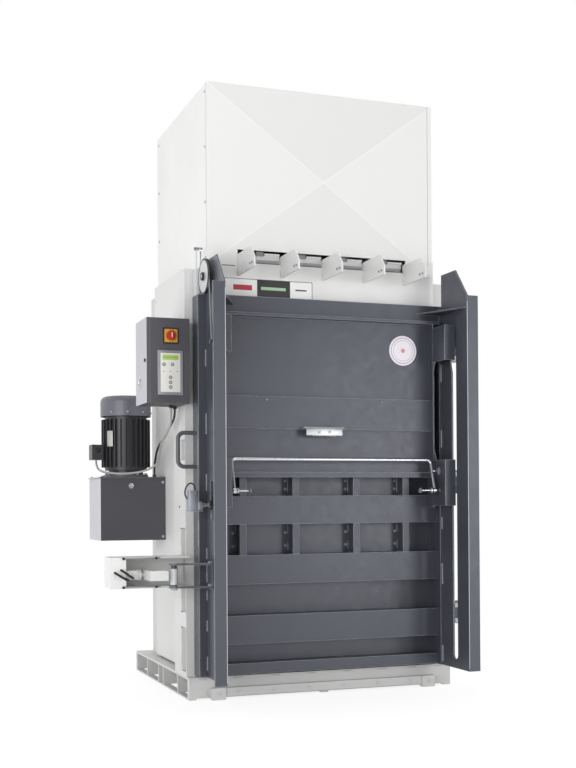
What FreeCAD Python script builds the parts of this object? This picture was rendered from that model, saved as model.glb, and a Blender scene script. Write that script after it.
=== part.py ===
"""Upright recycling baler, built as a parametric document in millimetres.

The press stands on a fork-lift base.  A chamber of plates carries a head box and a tall hood with
the press cylinder in it.  A front door turns on the right column, a loading flap slides down on
the door against a counterweight, and a power unit, a control cabinet and a hydraulic door lock
sit on the left side.

Frame: +Z up, +X to the operator's right, +Y from the door to the rear.  The origin is the centre of
the base's footprint on the floor.  Every depth below is measured from the front face of the base and
is moved to the origin in one place, by the functions that place a solid.  A cutter stands 1 mm out
of the face that it cuts, which is written as - 1 and + 1 below.
"""
import FreeCAD, Part
import math
import os
import re
import Sketcher
from FreeCAD import Rotation, Vector

SIZES = {
    # base that a pallet truck or a fork lift can reach under
    "base_width": 1524, "base_depth": 1252, "base_height": 118, "floor_plate": 12,
    "end_wall": 30, "bay_wall": 12, "bay_one": 235, "bay_two": 557, "bay_gap": 99, "bay_three": 950,
    "skid_width": 40, "skid_thick": 8, "block_width": 75, "block_reach": 40, "block_tall": 62,
    "block_place": 572, "ledge_reach": 26, "ledge_low": 16, "ledge_tall": 44,
    # chamber
    "wall_inner": 660, "wall_thick": 10, "body_front": 50, "body_rear": 1186, "wall_top": 2278,
    "deck_thick": 12, "deck_hole": 100,
    # columns beside the chamber
    "column_width": 92, "column_depth": 240, "column_top": 2270, "column_plate": 8,
    "pocket_depth": 102, "pocket_one_low": 140, "pocket_one_high": 375, "pocket_two_low": 455,
    "pocket_two_high": 900, "pocket_three_low": 1260, "pocket_three_high": 1370,
    # cover of the strapping shaft on the left side
    "cover_reach": 30, "cover_front": 360, "cover_rear": 970, "cover_low": 130, "cover_high": 2325,
    "cover_sheet": 3, "cover_seam": 575, "seam_gap": 2,
    # head box over the door, with fins and a lamp
    "head_front": 22, "head_plate": 8, "head_low": 2129, "head_high": 2380, "head_sill": 2306,
    "head_lap": 40, "window_half": 490, "fin_thick": 8, "fin_reach": 278, "fin_low": 2235,
    "fin_high": 2350, "fin_nose": 50, "fin_slope": 60, "head_fin_count": 5, "fin_step": 240.75,
    "fin_first": 485, "bolt_radius": 6, "bolt_tall": 6, "bolt_step": 35,
    "lamp_half": 470, "lamp_depth": 30, "lamp_tall": 52,
    "sign_left": 560, "sign_right": 70, "sign_low": 2131, "sign_tall": 88, "sign_thick": 2,
    # hood
    "hood_inset": 6, "hood_front": 24, "hood_rear": 1073, "hood_top": 3250, "hood_sheet": 2,
    "hood_break": 5, "hood_notch": 85, "screw_radius": 7, "screw_tall": 3, "screw_edge": 40,
    "screw_rows": 4,
    # press cylinder, rod and platen
    "bore_radius": 70, "barrel_radius": 90, "rod_radius": 45, "barrel_low": 2190, "barrel_high": 3215,
    "gland_tall": 60, "cap_tall": 20, "flange_radius": 140, "flange_tall": 30, "bridge_tall": 40,
    "bridge_depth": 260, "bridge_end_gap": 12, "piston_tall": 60, "piston_top_gap": 15,
    "foot_radius": 85, "foot_tall": 20, "slide_fit": 0.5, "shaft_fit": 0.05,
    "platen_low": 2050, "platen_tall": 130, "platen_plate": 20, "platen_rib": 12,
    "platen_side_gap": 12, "platen_end_gap": 12, "shoe_long": 100, "shoe_tall": 110,
    "shoe_inset": 60, "shoe_fit": 0.6,
    # door: box sides, skin, ribs and top beam
    "door_low": 126, "door_high": 2118, "door_side": 661, "side_plate": 10, "door_back": 45,
    "door_deep": 135, "flange_thick": 8, "left_flange": 720, "right_flange": 720, "skin_thick": 10,
    "skin_top": 1180, "rib_front": 55, "rib_wall": 6, "rib_one_low": 918, "rib_one_high": 1069,
    "rib_two_low": 602, "rib_two_high": 757, "rib_three_low": 287, "rib_three_high": 439,
    "rib_four_low": 130, "rib_four_high": 188, "post_width": 38, "post_inner": 176,
    "post_outer": 474, "post_back": 12, "beam_low": 2030, "gusset_reach": 131, "gusset_deep": 290,
    "gusset_low": 2066, "gusset_thick": 8,
    # folded columns on both sides of the door
    "web_thick": 8, "web_front": 398, "web_lap": 65, "web_flange": 66, "web_top": 2132,
    "peak_rear": 100, "peak_front": 265, "peak_high": 2290,
    "slot_centre": 245, "slot_width": 50, "slot_low": 175, "slot_high": 1880, "slot_bend": 150,
    "slot_back": 35, "slot_middle": 93, "slot_middle_back": 15.75, "slot_tip": 4,
    "slot_tip_back": 21, "notch_rear": 140, "notch_low": 945, "notch_high": 1145,
    # hinges on the right
    "hinge_x": 800, "hinge_y": 20, "hinge_count": 3, "hinge_low": 376, "hinge_step": 737,
    "pin_radius": 12,
    "knuckle_radius": 28, "knuckle_tall": 60, "hinge_gap": 0.3, "lug_tall": 25, "leaf_thick": 10,
    "leaf_front": 60, "leaf_rear": 200, "pin_stand": 6, "arm_half": 25.2,
    # pull handle
    "pull_radius": 11, "pull_reach": 105, "pull_low": 1222, "pull_high": 1398, "pull_y": 40,
    # counterweight, its rail, pulley and rope
    "rail_front": 60, "rail_high": 2120, "weight_low": 330, "weight_tall": 800,
    "weight_width": 39, "weight_front": 50, "weight_fit": 0.6, "eye_radius": 8, "eye_tall": 20,
    "rope_radius": 4, "rope_x": 700, "rope_rear_y": 30, "pulley_radius": 80, "pulley_y": 125,
    "pulley_high": 2200, "pulley_rim": 12, "pulley_half": 8, "axle_radius": 10, "cap_high": 2260,
    "cap_front": 26, "cap_inset": 3, "cap_gap": 1, "strip_high": 2370, "strip_wide": 14,
    "strip_thick": 4,
    # sliding flap
    "flap_half": 602, "flap_sheet": 8, "flap_front": 85, "flap_low": 1166, "flap_high": 2027,
    "lip_tall": 28, "lip_reach": 20, "top_lip_tall": 16, "top_lip_reach": 45, "top_lip_half": 650,
    "flap_rib_low": 1421, "flap_rib_high": 1593, "flap_rib_reach": 25, "cheek_thick": 8,
    "cheek_front": 130, "cheek_rear": 60, "cheek_low": 1000, "bracket_front": 270,
    "bracket_reach": 54, "upper_low": 1800, "upper_high": 1990, "lower_low": 1010,
    "lower_high": 1260, "stud_radius": 10, "stud_upper": 1850, "stud_lower": 1100,
    "bush_long": 16, "stud_end": 690, "stud_rope_end": 712,
    "grip_left": 166, "grip_right": 63, "grip_high": 1432, "grip_thick": 8, "grip_reach": 40,
    "grip_bar_inset": 50, "grip_bar_tall": 40, "grip_bar_thick": 12,
    "disc_x": 441, "disc_z": 1864, "disc_radius": 82, "disc_thick": 2,
    # bail that lifts the flap
    "bail_radius": 9, "bail_x": 570, "bail_y": 200, "bail_low": 1094, "bail_top_y": 155,
    "bail_high": 1260, "bail_pin": 8, "bail_pin_stand": 4, "bail_eye": 16, "bail_eye_long": 16,
    "bail_bend": 22, "bail_sink": 2,
    # limit switch and clamp knob
    "switch_left": 806, "switch_right": 735, "switch_y": 170, "switch_deep": 50,
    "switch_low": 997, "switch_tall": 100, "switch_lap": 30, "spindle_z": 1022, "spindle_radius": 7,
    "spindle_end": 676, "knob_radius": 24, "knob_long": 20, "knob_lobes": 6, "knob_bite": 5,
    # hydraulic door lock on the left
    "arm_foot": 8, "arm_foot_front": 185, "arm_foot_rear": 130, "arm_foot_low": 590,
    "arm_foot_high": 735, "arm_low": 598, "arm_high": 716, "arm_thick": 10, "bolt_x": 868,
    "bolt_y": 115, "lock_pin_radius": 15, "arm_end_radius": 25,
    "lock_left": 1180, "lock_cover": 1100, "lock_front": 40, "lock_rear": 120, "lock_low": 597,
    "lock_high": 757, "lock_plate": 8, "lock_y": 10, "lock_z": 665, "ram_radius": 28,
    "ram_end": 1015, "ram_rod": 12, "jaw_left": 1000, "jaw_right": 960, "jaw_tip": 905,
    "jaw_tall": 50, "jaw_front": 150, "jaw_finger": 15, "jaw_mouth": 40, "jaw_back": 25,
    "hose_count": 2, "hose_radius": 7, "hose_bend": 16.8, "hose_out": 72, "hose_step": 34,
    "port_half": 22, "port_stand": 4,
    # control cabinet
    "cabinet_left": 972, "cabinet_front": 50, "cabinet_rear": 200, "cabinet_low": 1550,
    "cabinet_high": 1990, "cabinet_sheet": 2, "lid_deep": 17.4, "lid_gap": 0.6, "lid_sheet": 2,
    "lid_back_gap": 1, "lid_axis_y": 206, "lid_pin": 3, "lid_sleeve": 6, "lid_hinge_count": 2,
    "lid_hinge_low": 1600, "lid_hinge_step": 300, "lid_sleeve_tall": 30, "lid_leaf": 10,
    "lid_leaf_lap": 2, "lid_leaf_gap": 0.5, "lid_lock_y": 20, "lid_lock_z": 1770, "lock_barrel": 9,
    "lock_shaft": 5, "lock_proud": 6, "cam_long": 24, "cam_wide": 10, "cam_thick": 3, "cam_gap": 1,
    "main_x": 862, "main_z": 1898, "plate_half": 37, "plate_thick": 4, "dial_radius": 26,
    "dial_thick": 10, "dial_grip": 16, "dial_bar": 12, "dial_shaft": 5, "dial_shaft_long": 24,
    "panel_left": 933, "panel_right": 799, "panel_low": 1591, "panel_high": 1822,
    "panel_thick": 6, "keypad_inset": 15, "keypad_thick": 2, "screen_tall": 26, "screen_inset": 9,
    "key_radius": 8, "key_thick": 1.5, "key_step": 26,
    # power unit: tank, pump and motor
    "tank_left": 1080, "tank_right": 700, "tank_front": 730, "tank_rear": 1080, "tank_low": 820,
    "tank_high": 1180, "tank_sheet": 3, "tank_lid": 6, "tank_lap": 8, "gauge_z": 1135,
    "gauge_x": 905, "gauge_radius": 17, "gauge_tall": 10, "hanger_low": 850, "hanger_high": 1150,
    "motor_x": 903, "motor_y": 870, "bell_radius": 100, "bell_tall": 40, "bell_wall": 30,
    "motor_radius": 122, "fin_radius": 142, "fin_count": 28, "fin_wide": 5, "motor_tall": 314,
    "stator_bore": 60, "shield_tall": 18, "rotor_gap": 1, "motor_shaft": 14, "cowl_radius": 147,
    "cowl_sheet": 3, "cowl_tall": 118, "cowl_hole": 90, "cowl_slots": 7,
    "cowl_slot_step": 22.5, "fan_radius": 110, "fan_hub": 30,
    "fan_low": 30, "fan_tall": 40, "fan_blade": 4, "fan_blades": 8, "fan_plate": 4,
    "pump_radius": 60, "pump_tall": 150, "pump_floor": 20, "shaft_end_gap": 1, "terminal_long": 66,
    "terminal_wide": 100, "terminal_low": 1287, "terminal_tall": 87,
    "cable_radius": 6, "gland_radius": 11, "gland_tall": 14,
}
# the cables' routes keep the points chosen for them, in millimetres from the base's front face
MOTOR_CABLE = [(-1085, 840, 1287), (-1085, 840, 1240), (-1060, 760, 1212), (-985, 706, 1203),
               (-895, 688, 1206), (-815, 662, 1224), (-775, 600, 1262), (-785, 515, 1310),
               (-803, 430, 1352), (-806, 335, 1394), (-803, 240, 1428), (-812, 155, 1455),
               (-826, 96, 1490), (-826, 96, 1536)]
VALVE_CABLE = [(-755, 775, 1200), (-755, 775, 1245), (-762, 718, 1292), (-774, 635, 1333),
               (-777, 540, 1370), (-772, 445, 1404), (-778, 350, 1434), (-785, 255, 1460),
               (-788, 165, 1488), (-788, 165, 1536)]

doc = FreeCAD.newDocument("RecyclingBaler")
sizes = doc.addObject("Spreadsheet::Sheet", "Sizes")
for row, (alias, number) in enumerate(SIZES.items(), start=1):
    sizes.set("A%d" % row, alias)
    sizes.set("B%d" % row, str(number))
    sizes.setAlias("B%d" % row, alias)
doc.recompute()

NODES = []
WORD = re.compile(r"[a-z][a-z_0-9]*")


def tie(text):
    """Turn sheet words in a formula into references to the sheet's cells."""
    return WORD.sub(lambda hit: "Sizes." + hit.group(0) if hit.group(0) in SIZES else hit.group(0),
                    str(text))


def value(text):
    """The present number of a formula."""
    number = sizes.evalExpression(tie(text))
    return float(getattr(number, "Value", number))


def count_of(alias):
    """A whole number from the sheet, for a loop over copies."""
    return int(round(value(alias)))


def depth(text):
    """A depth from the base's front face, as a place along Y in the part's frame."""
    return "(%s) - base_depth / 2" % text


def place(solid, x, y, z, turn=None):
    """Place a solid by formulas, with y as a depth from the base's front."""
    if turn is not None:
        solid.Placement = FreeCAD.Placement(Vector(0, 0, 0), turn)
    solid.setExpression("Placement.Base.x", tie(x))
    solid.setExpression("Placement.Base.y", tie(depth(y)))
    solid.setExpression("Placement.Base.z", tie(z))
    return solid


def slab(x0, x1, y0, y1, z0, z1, name="slab"):
    """A box between three pairs of formulas."""
    box = doc.addObject("Part::Box", name)
    box.setExpression("Length", tie("(%s) - (%s)" % (x1, x0)))
    box.setExpression("Width", tie("(%s) - (%s)" % (y1, y0)))
    box.setExpression("Height", tie("(%s) - (%s)" % (z1, z0)))
    return place(box, x0, y0, z0)


TURNS = {"x": Rotation(Vector(0, 1, 0), 90), "y": Rotation(Vector(1, 0, 0), -90),
         "z": Rotation()}


def rod(axis, x, y, z, length, radius, name="rod"):
    """A round bar that starts at a point and runs along +x, +y or +z."""
    bar = doc.addObject("Part::Cylinder", name)
    bar.setExpression("Radius", tie(radius))
    bar.setExpression("Height", tie(length))
    return place(bar, x, y, z, TURNS[axis])


def fuse(*solids):
    """One solid out of several that touch."""
    joined = doc.addObject("Part::MultiFuse", "joined")
    joined.Shapes = list(solids)
    joined.Refine = True
    return joined


def cut(base, *tools):
    """The base without the tools."""
    result = doc.addObject("Part::Cut", "cut")
    result.Base = base
    result.Tool = tools[0] if len(tools) == 1 else fuse(*tools)
    result.Refine = True
    return result


def group(*solids):
    """Separate solids of one kind that share a node."""
    together = doc.addObject("Part::Compound", "group")
    together.Links = list(solids)
    return together


def node(name, solid):
    """Name a finished sub-part, which gives its file its name."""
    solid.Label = name
    NODES.append(solid)
    return solid


def span(side, inner, outer):
    """The two X formulas of a piece on the left (side -1) or on the right (side 1)."""
    return ("(%s)" % inner, "(%s)" % outer) if side > 0 else ("-(%s)" % outer, "-(%s)" % inner)


def plate(axis, outline, start, thick, name="plate"):
    """A flat plate: a sketched outline, given as pairs of formulas, padded along an axis.

    The outline is (y, z) for a plate along x, (x, z) for one along y, and (x, y) for one along z.
    """
    body = doc.addObject("PartDesign::Body", name)
    role = {"x": "YZ_Plane", "y": "XZ_Plane", "z": "XY_Plane"}[axis]
    plane = next(item for item in body.Origin.OriginFeatures if item.Role == role)
    sketch = body.newObject("Sketcher::SketchObject", name + "_sketch")
    sketch.AttachmentSupport = (plane, [""])
    sketch.MapMode = "FlatFace"
    across = [(depth(u) if axis == "x" else u, depth(v) if axis == "z" else v) for u, v in outline]
    spots = [Vector(value(u), value(v), 0) for u, v in across]
    count = len(spots)
    for index in range(count):
        sketch.addGeometry(Part.LineSegment(spots[index], spots[(index + 1) % count]))
    for index in range(count):
        sketch.addConstraint(Sketcher.Constraint("Coincident", index, 2, (index + 1) % count, 1))
    for index, (u, v) in enumerate(across):
        pairs = (("DistanceX", u, spots[index].x), ("DistanceY", v, spots[index].y))
        for kind, formula, number in pairs:
            row = sketch.addConstraint(Sketcher.Constraint(kind, -1, 1, index, 1, number))
            sketch.setExpression("Constraints[%d]" % row, tie(formula))
    # the XZ plane faces -Y, so a plate along y starts at its far side
    lift = start if axis != "y" else "base_depth / 2 - (%s) - (%s)" % (start, thick)
    sketch.setExpression("AttachmentOffset.Base.z", tie(lift))
    pad = body.newObject("PartDesign::Pad", name + "_pad")
    pad.Profile = sketch
    pad.setExpression("Length", tie(thick))
    body.Tip = pad
    return body


def tube(spots, radius, bend=None):
    """A round tube along straight runs joined by tangent arcs.

    The spots are vectors in the part's frame.  Without a stated bend each arc is as large as its
    two runs allow.
    """
    runs = [(b - a).Length for a, b in zip(spots, spots[1:])]
    edges = []
    here = spots[0]
    length = 0
    bends = []
    for index in range(1, len(spots) - 1):
        back = (spots[index - 1] - spots[index]).normalize()
        ahead = (spots[index + 1] - spots[index]).normalize()
        turn = math.pi - back.getAngle(ahead)
        size = bend or 0.45 * min(runs[index - 1], runs[index]) / math.tan(turn / 2)
        reach = size * math.tan(turn / 2)
        start = spots[index] + back * reach
        end = spots[index] + ahead * reach
        half = (back + ahead).normalize()
        middle = spots[index] + half * (size / math.cos(turn / 2) - size)
        edges += [Part.LineSegment(here, start).toShape(), Part.Arc(start, middle, end).toShape()]
        length += (start - here).Length + size * turn
        bends.append(size)
        here = end
    edges.append(Part.LineSegment(here, spots[-1]).toShape())
    length += (spots[-1] - here).Length
    ring = Part.Wire(Part.makeCircle(radius, spots[0], spots[1] - spots[0]))
    solid = Part.Wire(edges).makePipeShell([ring], True, False)
    share = solid.Volume / (math.pi * radius ** 2 * length)
    print("tube: length %.0f, volume share %.4f, bends %s"
          % (length, share, " ".join("%.0f" % size for size in bends)))
    return solid


def spot(x, y, z):
    """A point from three formulas, with y as a depth from the base's front."""
    return Vector(value(x), value(depth(y)), value(z))


def shaped(shape, name):
    """A document object for a shape that the features above can't make."""
    thing = doc.addObject("Part::Feature", name)
    thing.Shape = shape
    return thing


# ---- base: floor plate on cross walls, open from side to side for forks, on three skids ----
half = "base_width / 2"
bay_starts = [("0", "end_wall"), ("bay_one", "bay_one + bay_wall"),
              ("bay_two", "bay_two + bay_wall"),
              ("bay_two + bay_wall + bay_gap", "bay_two + 2 * bay_wall + bay_gap"),
              ("bay_three", "bay_three + bay_wall"), ("base_depth - end_wall", "base_depth")]
cross_walls = [slab("-" + half, half, front, rear, "skid_thick", "base_height - floor_plate")
               for front, rear in bay_starts]
skids = [slab(*span(side, half + " - skid_width", half), "0", "base_depth", "0", "skid_thick")
         for side in (-1, 1)]
skids.append(slab("-skid_width / 2", "skid_width / 2", "0", "base_depth", "0", "skid_thick"))
floor = slab("-" + half, half, "0", "base_depth", "base_height - floor_plate", "base_height")
blocks = [slab(*span(side, "block_place", "block_place + block_width"), "-block_reach", "0",
               "0", "block_tall") for side in (-1, 1)]
ledge = slab("-block_place", "block_place", "-ledge_reach", "0", "ledge_low",
             "ledge_low + ledge_tall")
node("base_frame", group(floor, ledge, *cross_walls, *skids, *blocks))

# ---- chamber: side walls and rear wall on the floor plate, closed by the top deck ----
side_walls = [slab(*span(side, "wall_inner", "wall_inner + wall_thick"), "body_front",
                   "body_rear - wall_thick", "base_height", "wall_top") for side in (-1, 1)]
rear = slab("-wall_inner - wall_thick", "wall_inner + wall_thick", "body_rear - wall_thick",
            "body_rear", "base_height", "wall_top")
node("wall_panels", group(rear, *side_walls))
PRESS_Y = "(body_front + body_rear) / 2"
deck = slab("-wall_inner - wall_thick", "wall_inner + wall_thick", "body_front", "body_rear",
            "wall_top", "wall_top + deck_thick")
node("top_deck", cut(deck, rod("z", "0", PRESS_Y, "wall_top - 1", "deck_thick + 2", "deck_hole")))
DECK_TOP = "(wall_top + deck_thick)"

# ---- columns beside the chamber, welded of plates, with three pockets in the outer face ----
OUTER = "(wall_inner + wall_thick + column_width)"
COLUMN_REAR = "(body_front + column_depth)"
pockets = [("pocket_one_low", "pocket_one_high"), ("pocket_two_low", "pocket_two_high"),
           ("pocket_three_low", "pocket_three_high")]
for side, name in ((-1, "column_left"), (1, "column_right")):
    edge = "wall_inner + wall_thick"
    web = OUTER + " - column_plate"
    rise = ("base_height", "column_top - column_plate")
    plates = [slab(*span(side, edge, OUTER), "body_front", "body_front + column_plate", *rise),
              slab(*span(side, edge, OUTER), COLUMN_REAR + " - column_plate", COLUMN_REAR, *rise),
              slab(*span(side, web, OUTER), "body_front + pocket_depth",
                   COLUMN_REAR + " - column_plate", *rise),
              slab(*span(side, edge, OUTER), "body_front", COLUMN_REAR,
                   "column_top - column_plate", "column_top")]
    low = rise[0]
    for pocket_low, pocket_high in pockets + [(rise[1], None)]:
        plates.append(slab(*span(side, web, OUTER), "body_front + column_plate",
                           "body_front + pocket_depth", low, pocket_low))
        low = pocket_high
    for pocket_low, pocket_high in pockets:
        for shelf in (pocket_low + " - column_plate", pocket_high):
            plates.append(slab(*span(side, edge, web), "body_front + column_plate",
                               COLUMN_REAR + " - column_plate", shelf, shelf + " + column_plate"))
    node(name, group(*plates))

# ---- folded cover on the left side, in two panels with a seam ----
WALL = "(wall_inner + wall_thick)"
panels = []
for front, rear in (("cover_front", "cover_seam"), ("cover_seam + seam_gap", "cover_rear")):
    shell = slab("-%s - cover_reach" % WALL, "-" + WALL, front, rear, "cover_low", "cover_high")
    hollow = slab("-%s - cover_reach + cover_sheet" % WALL, "-%s + 1" % WALL,
                  front + " + cover_sheet", "(%s) - cover_sheet" % rear,
                  "cover_low + cover_sheet", "cover_high - cover_sheet")
    panels.append(cut(shell, hollow))
node("side_cover", group(*panels))

# ---- head box over the door, with fins that guide the strapping, and a lamp behind its sill ----
face = plate("y", [("-wall_inner", "head_low"), ("wall_inner", "head_low"),
                   ("wall_inner", "head_high"), ("window_half", "head_high"),
                   ("window_half", "head_sill"), ("-window_half", "head_sill"),
                   ("-window_half", "head_high"), ("-wall_inner", "head_high")],
             "-head_front", "head_plate", "head_face")
HEAD_BACK = "-head_front + head_plate"
cheeks = [slab(*span(side, "wall_inner - head_plate", "wall_inner"), HEAD_BACK,
               "body_front + head_lap", "head_low", DECK_TOP + " - deck_thick")
          for side in (-1, 1)]
soffit = slab("-wall_inner + head_plate", "wall_inner - head_plate", HEAD_BACK, "body_front",
              "head_low", "head_low + head_plate")
shelf = slab("-wall_inner + head_plate", "wall_inner - head_plate", HEAD_BACK, "body_front",
             DECK_TOP, DECK_TOP + " + head_plate")
node("head_box", fuse(face, soffit, shelf, *cheeks))
fins = []
bolts = []
for index in range(count_of("head_fin_count")):
    left = "-fin_first + %d * fin_step" % index
    fins.append(plate("x", [("-head_front", "fin_low"), ("-head_front - fin_reach", "fin_low"),
                            ("-head_front - fin_reach", "fin_low + fin_nose"),
                            ("-head_front - fin_reach + fin_slope", "fin_high"),
                            ("-head_front", "fin_high")], left + " - fin_thick / 2", "fin_thick",
                      "fin"))
    for along in ("fin_nose / 2", "fin_nose / 2 + bolt_step"):
        bolts.append(rod("x", left + " - fin_thick / 2 - bolt_tall",
                         "-head_front - fin_reach + " + along, "fin_low + fin_nose / 2",
                         "bolt_tall", "bolt_radius"))
node("head_fins", group(*fins))
node("head_lamp", slab("-lamp_half", "lamp_half", "0", "lamp_depth", DECK_TOP + " + head_plate",
                       DECK_TOP + " + head_plate + lamp_tall"))
node("name_plate", slab("-sign_left", "-sign_right", "-head_front - sign_thick", "-head_front",
                        "sign_low", "sign_low + sign_tall"))

# ---- hood: thin panels on the deck, the front one cross-broken to a low pyramid ----
HOOD_LOW = DECK_TOP
HOOD_SIDE = "(wall_inner - hood_inset)"
TOP_SHEET = "hood_top - hood_sheet"
HOOD_EDGE = "-hood_front + hood_sheet"
side_outline = [(HOOD_EDGE, "head_high"), (HOOD_EDGE, TOP_SHEET),
                ("hood_rear - hood_sheet", TOP_SHEET), ("hood_rear - hood_sheet", HOOD_LOW),
                (HEAD_BACK, HOOD_LOW), (HEAD_BACK, "head_high")]
hood_sides = [plate("x", side_outline, span(side, HOOD_SIDE + " - hood_sheet", HOOD_SIDE)[0],
                    "hood_sheet", "hood_side") for side in (-1, 1)]
hood_back = slab("-" + HOOD_SIDE, HOOD_SIDE, "hood_rear - hood_sheet", "hood_rear", HOOD_LOW,
                 TOP_SHEET)
hood_lid = slab("-" + HOOD_SIDE, HOOD_SIDE, "-hood_front", "hood_rear", TOP_SHEET, "hood_top")
node("hood_panels", group(hood_lid, hood_back, *hood_sides))
back_corners = [spot(x, "-hood_front + hood_sheet", z) for x, z in
                (("-" + HOOD_SIDE, HOOD_LOW), (HOOD_SIDE, HOOD_LOW), (HOOD_SIDE, TOP_SHEET),
                 ("-" + HOOD_SIDE, TOP_SHEET))]
front_corners = [corner - Vector(0, value("hood_sheet"), 0) for corner in back_corners]
peak = spot("0", "-hood_front - hood_break", "(%s + %s) / 2" % (HOOD_LOW, TOP_SHEET))
faces = [Part.Face(Part.makePolygon(back_corners + back_corners[:1]))]
for index in range(4):
    after = (index + 1) % 4
    faces.append(Part.Face(Part.makePolygon([back_corners[index], back_corners[after],
                                             front_corners[after], front_corners[index],
                                             back_corners[index]])))
    faces.append(Part.Face(Part.makePolygon([front_corners[index], front_corners[after], peak,
                                             front_corners[index]])))
broken = Part.makeSolid(Part.makeShell(faces))
if broken.Volume < 0:
    broken.reverse()
notch = slab("-window_half", "window_half", "-hood_front - 2 * hood_break", "0",
             HOOD_LOW + " - 1", HOOD_LOW + " + hood_notch")
node("hood_front", cut(shaped(broken, "broken_sheet"), notch))
screws = []
for place_y in ("-hood_front + hood_sheet + screw_edge", "hood_rear - screw_edge"):
    for index in range(count_of("screw_rows")):
        height = "%s + screw_edge + %d * (%s - %s - 2 * screw_edge) / (screw_rows - 1)" % (
            HOOD_LOW, index, TOP_SHEET, HOOD_LOW)
        screws.append(rod("x", "-%s - screw_tall" % HOOD_SIDE, place_y, height, "screw_tall",
                          "screw_radius"))
node("hood_screws", group(*screws, *bolts))

# ---- press: cylinder on a bridge, rod and platen inside the chamber ----
bridge = slab("-%s + bridge_end_gap" % HOOD_SIDE, HOOD_SIDE + " - bridge_end_gap",
              PRESS_Y + " - bridge_depth / 2", PRESS_Y + " + bridge_depth / 2", DECK_TOP,
              DECK_TOP + " + bridge_tall")
node("cylinder_bridge", cut(bridge, rod("z", "0", PRESS_Y, DECK_TOP + " - 1", "bridge_tall + 2",
                                        "barrel_radius")))
barrel = fuse(rod("z", "0", PRESS_Y, "barrel_low", "barrel_high - barrel_low", "barrel_radius"),
              rod("z", "0", PRESS_Y, DECK_TOP + " + bridge_tall", "flange_tall", "flange_radius"))
chamber = rod("z", "0", PRESS_Y, "barrel_low + gland_tall",
              "barrel_high - barrel_low - gland_tall - cap_tall", "bore_radius")
gland = rod("z", "0", PRESS_Y, "barrel_low - 1", "gland_tall + 2", "rod_radius + shaft_fit")
node("press_cylinder", cut(barrel, chamber, gland))
PLATE_TOP = "(platen_low + platen_plate)"
piston_high = "(barrel_high - cap_tall - piston_top_gap)"
node("piston_rod", fuse(
    rod("z", "0", PRESS_Y, PLATE_TOP, piston_high + " - " + PLATE_TOP, "rod_radius"),
    rod("z", "0", PRESS_Y, piston_high + " - piston_tall", "piston_tall",
        "bore_radius - slide_fit"),
    rod("z", "0", PRESS_Y, PLATE_TOP, "foot_tall", "foot_radius")))
PLATEN_HALF = "(wall_inner - platen_side_gap)"
platen_front = "(body_front + platen_end_gap)"
platen_rear = "(body_rear - wall_thick - platen_end_gap)"
platen = slab("-" + PLATEN_HALF, PLATEN_HALF, platen_front, platen_rear, "platen_low",
              "platen_low + platen_tall")
wells = [slab(*span(side, "flange_radius", PLATEN_HALF + " - platen_rib"),
              platen_front + " + platen_rib", platen_rear + " - platen_rib", PLATE_TOP,
              "platen_low + platen_tall + 1") for side in (-1, 1)]
middle_well = slab("-flange_radius + platen_rib", "flange_radius - platen_rib",
                   platen_front + " + platen_rib", platen_rear + " - platen_rib", PLATE_TOP,
                   "platen_low + platen_tall + 1")
shoes = []
for side in (-1, 1):
    for start in (platen_front + " + shoe_inset", platen_rear + " - shoe_inset - shoe_long"):
        shoes.append(slab(*span(side, PLATEN_HALF, "wall_inner - shoe_fit"), start,
                          start + " + shoe_long", "platen_low + platen_rib",
                          "platen_low + platen_rib + shoe_tall"))
node("platen", group(cut(platen, middle_well, *wells), *shoes))

# ---- door: box sides with outward flanges, skin, ribs with posts between, and a top beam ----
SIDE_OUT = "(door_side + side_plate)"
DOOR_FRONT = "(door_back - door_deep)"
door_walls = []
for side, reach in ((-1, "left_flange"), (1, "right_flange")):
    wall = slab(*span(side, "door_side", SIDE_OUT), DOOR_FRONT, "door_back", "door_low",
                "door_high")
    flange = slab(*span(side, SIDE_OUT, reach), "door_back - flange_thick", "door_back",
                  "door_low", "door_high")
    door_walls.append(fuse(wall, flange))
node("door_sides", group(*door_walls))
node("door_skin", slab("-door_side", "door_side", "door_back - skin_thick", "door_back",
                       "door_low", "skin_top"))
RIB_BACK = "door_back - skin_thick"


def rib(low, high, front=RIB_BACK, start="-rib_front"):
    """A channel folded from plate that lies across the door with its open side to the skin."""
    outer = slab("-door_side", "door_side", start, front, low, high)
    inner = slab("-door_side - 1", "door_side + 1", start + " + rib_wall", front + " + 1",
                 low + " + rib_wall", high + " - rib_wall")
    return cut(outer, inner)


ribs = [rib("rib_%s_low" % count, "rib_%s_high" % count) for count in ("one", "two", "three", "four")]
for side in (-1, 1):
    for centre in ("post_inner", "post_outer"):
        for low, high in (("rib_two_high", "rib_one_low"), ("rib_one_high", "skin_top")):
            ribs.append(slab(*span(side, centre + " - post_width / 2", centre + " + post_width / 2"),
                             "-rib_front + post_back", RIB_BACK, low, high))
node("door_ribs", group(*ribs))
beam_box = slab("-door_side", "door_side", DOOR_FRONT, "door_back", "beam_low", "door_high")
beam_hollow = slab("-door_side - 1", "door_side + 1", DOOR_FRONT + " + rib_wall",
                   "door_back - rib_wall", "beam_low + rib_wall", "door_high - rib_wall")
gussets = []
for side in (-1, 1):
    outline = [("%d * %s" % (side, x), y) for x, y in
               ((SIDE_OUT, DOOR_FRONT), ("(door_side - gusset_reach)", DOOR_FRONT),
                (SIDE_OUT, DOOR_FRONT + " - gusset_deep"))]
    gussets.append(plate("z", outline, "gusset_low", "gusset_thick", "gusset"))
node("door_top_beam", group(cut(beam_box, beam_hollow), *gussets))

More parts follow.
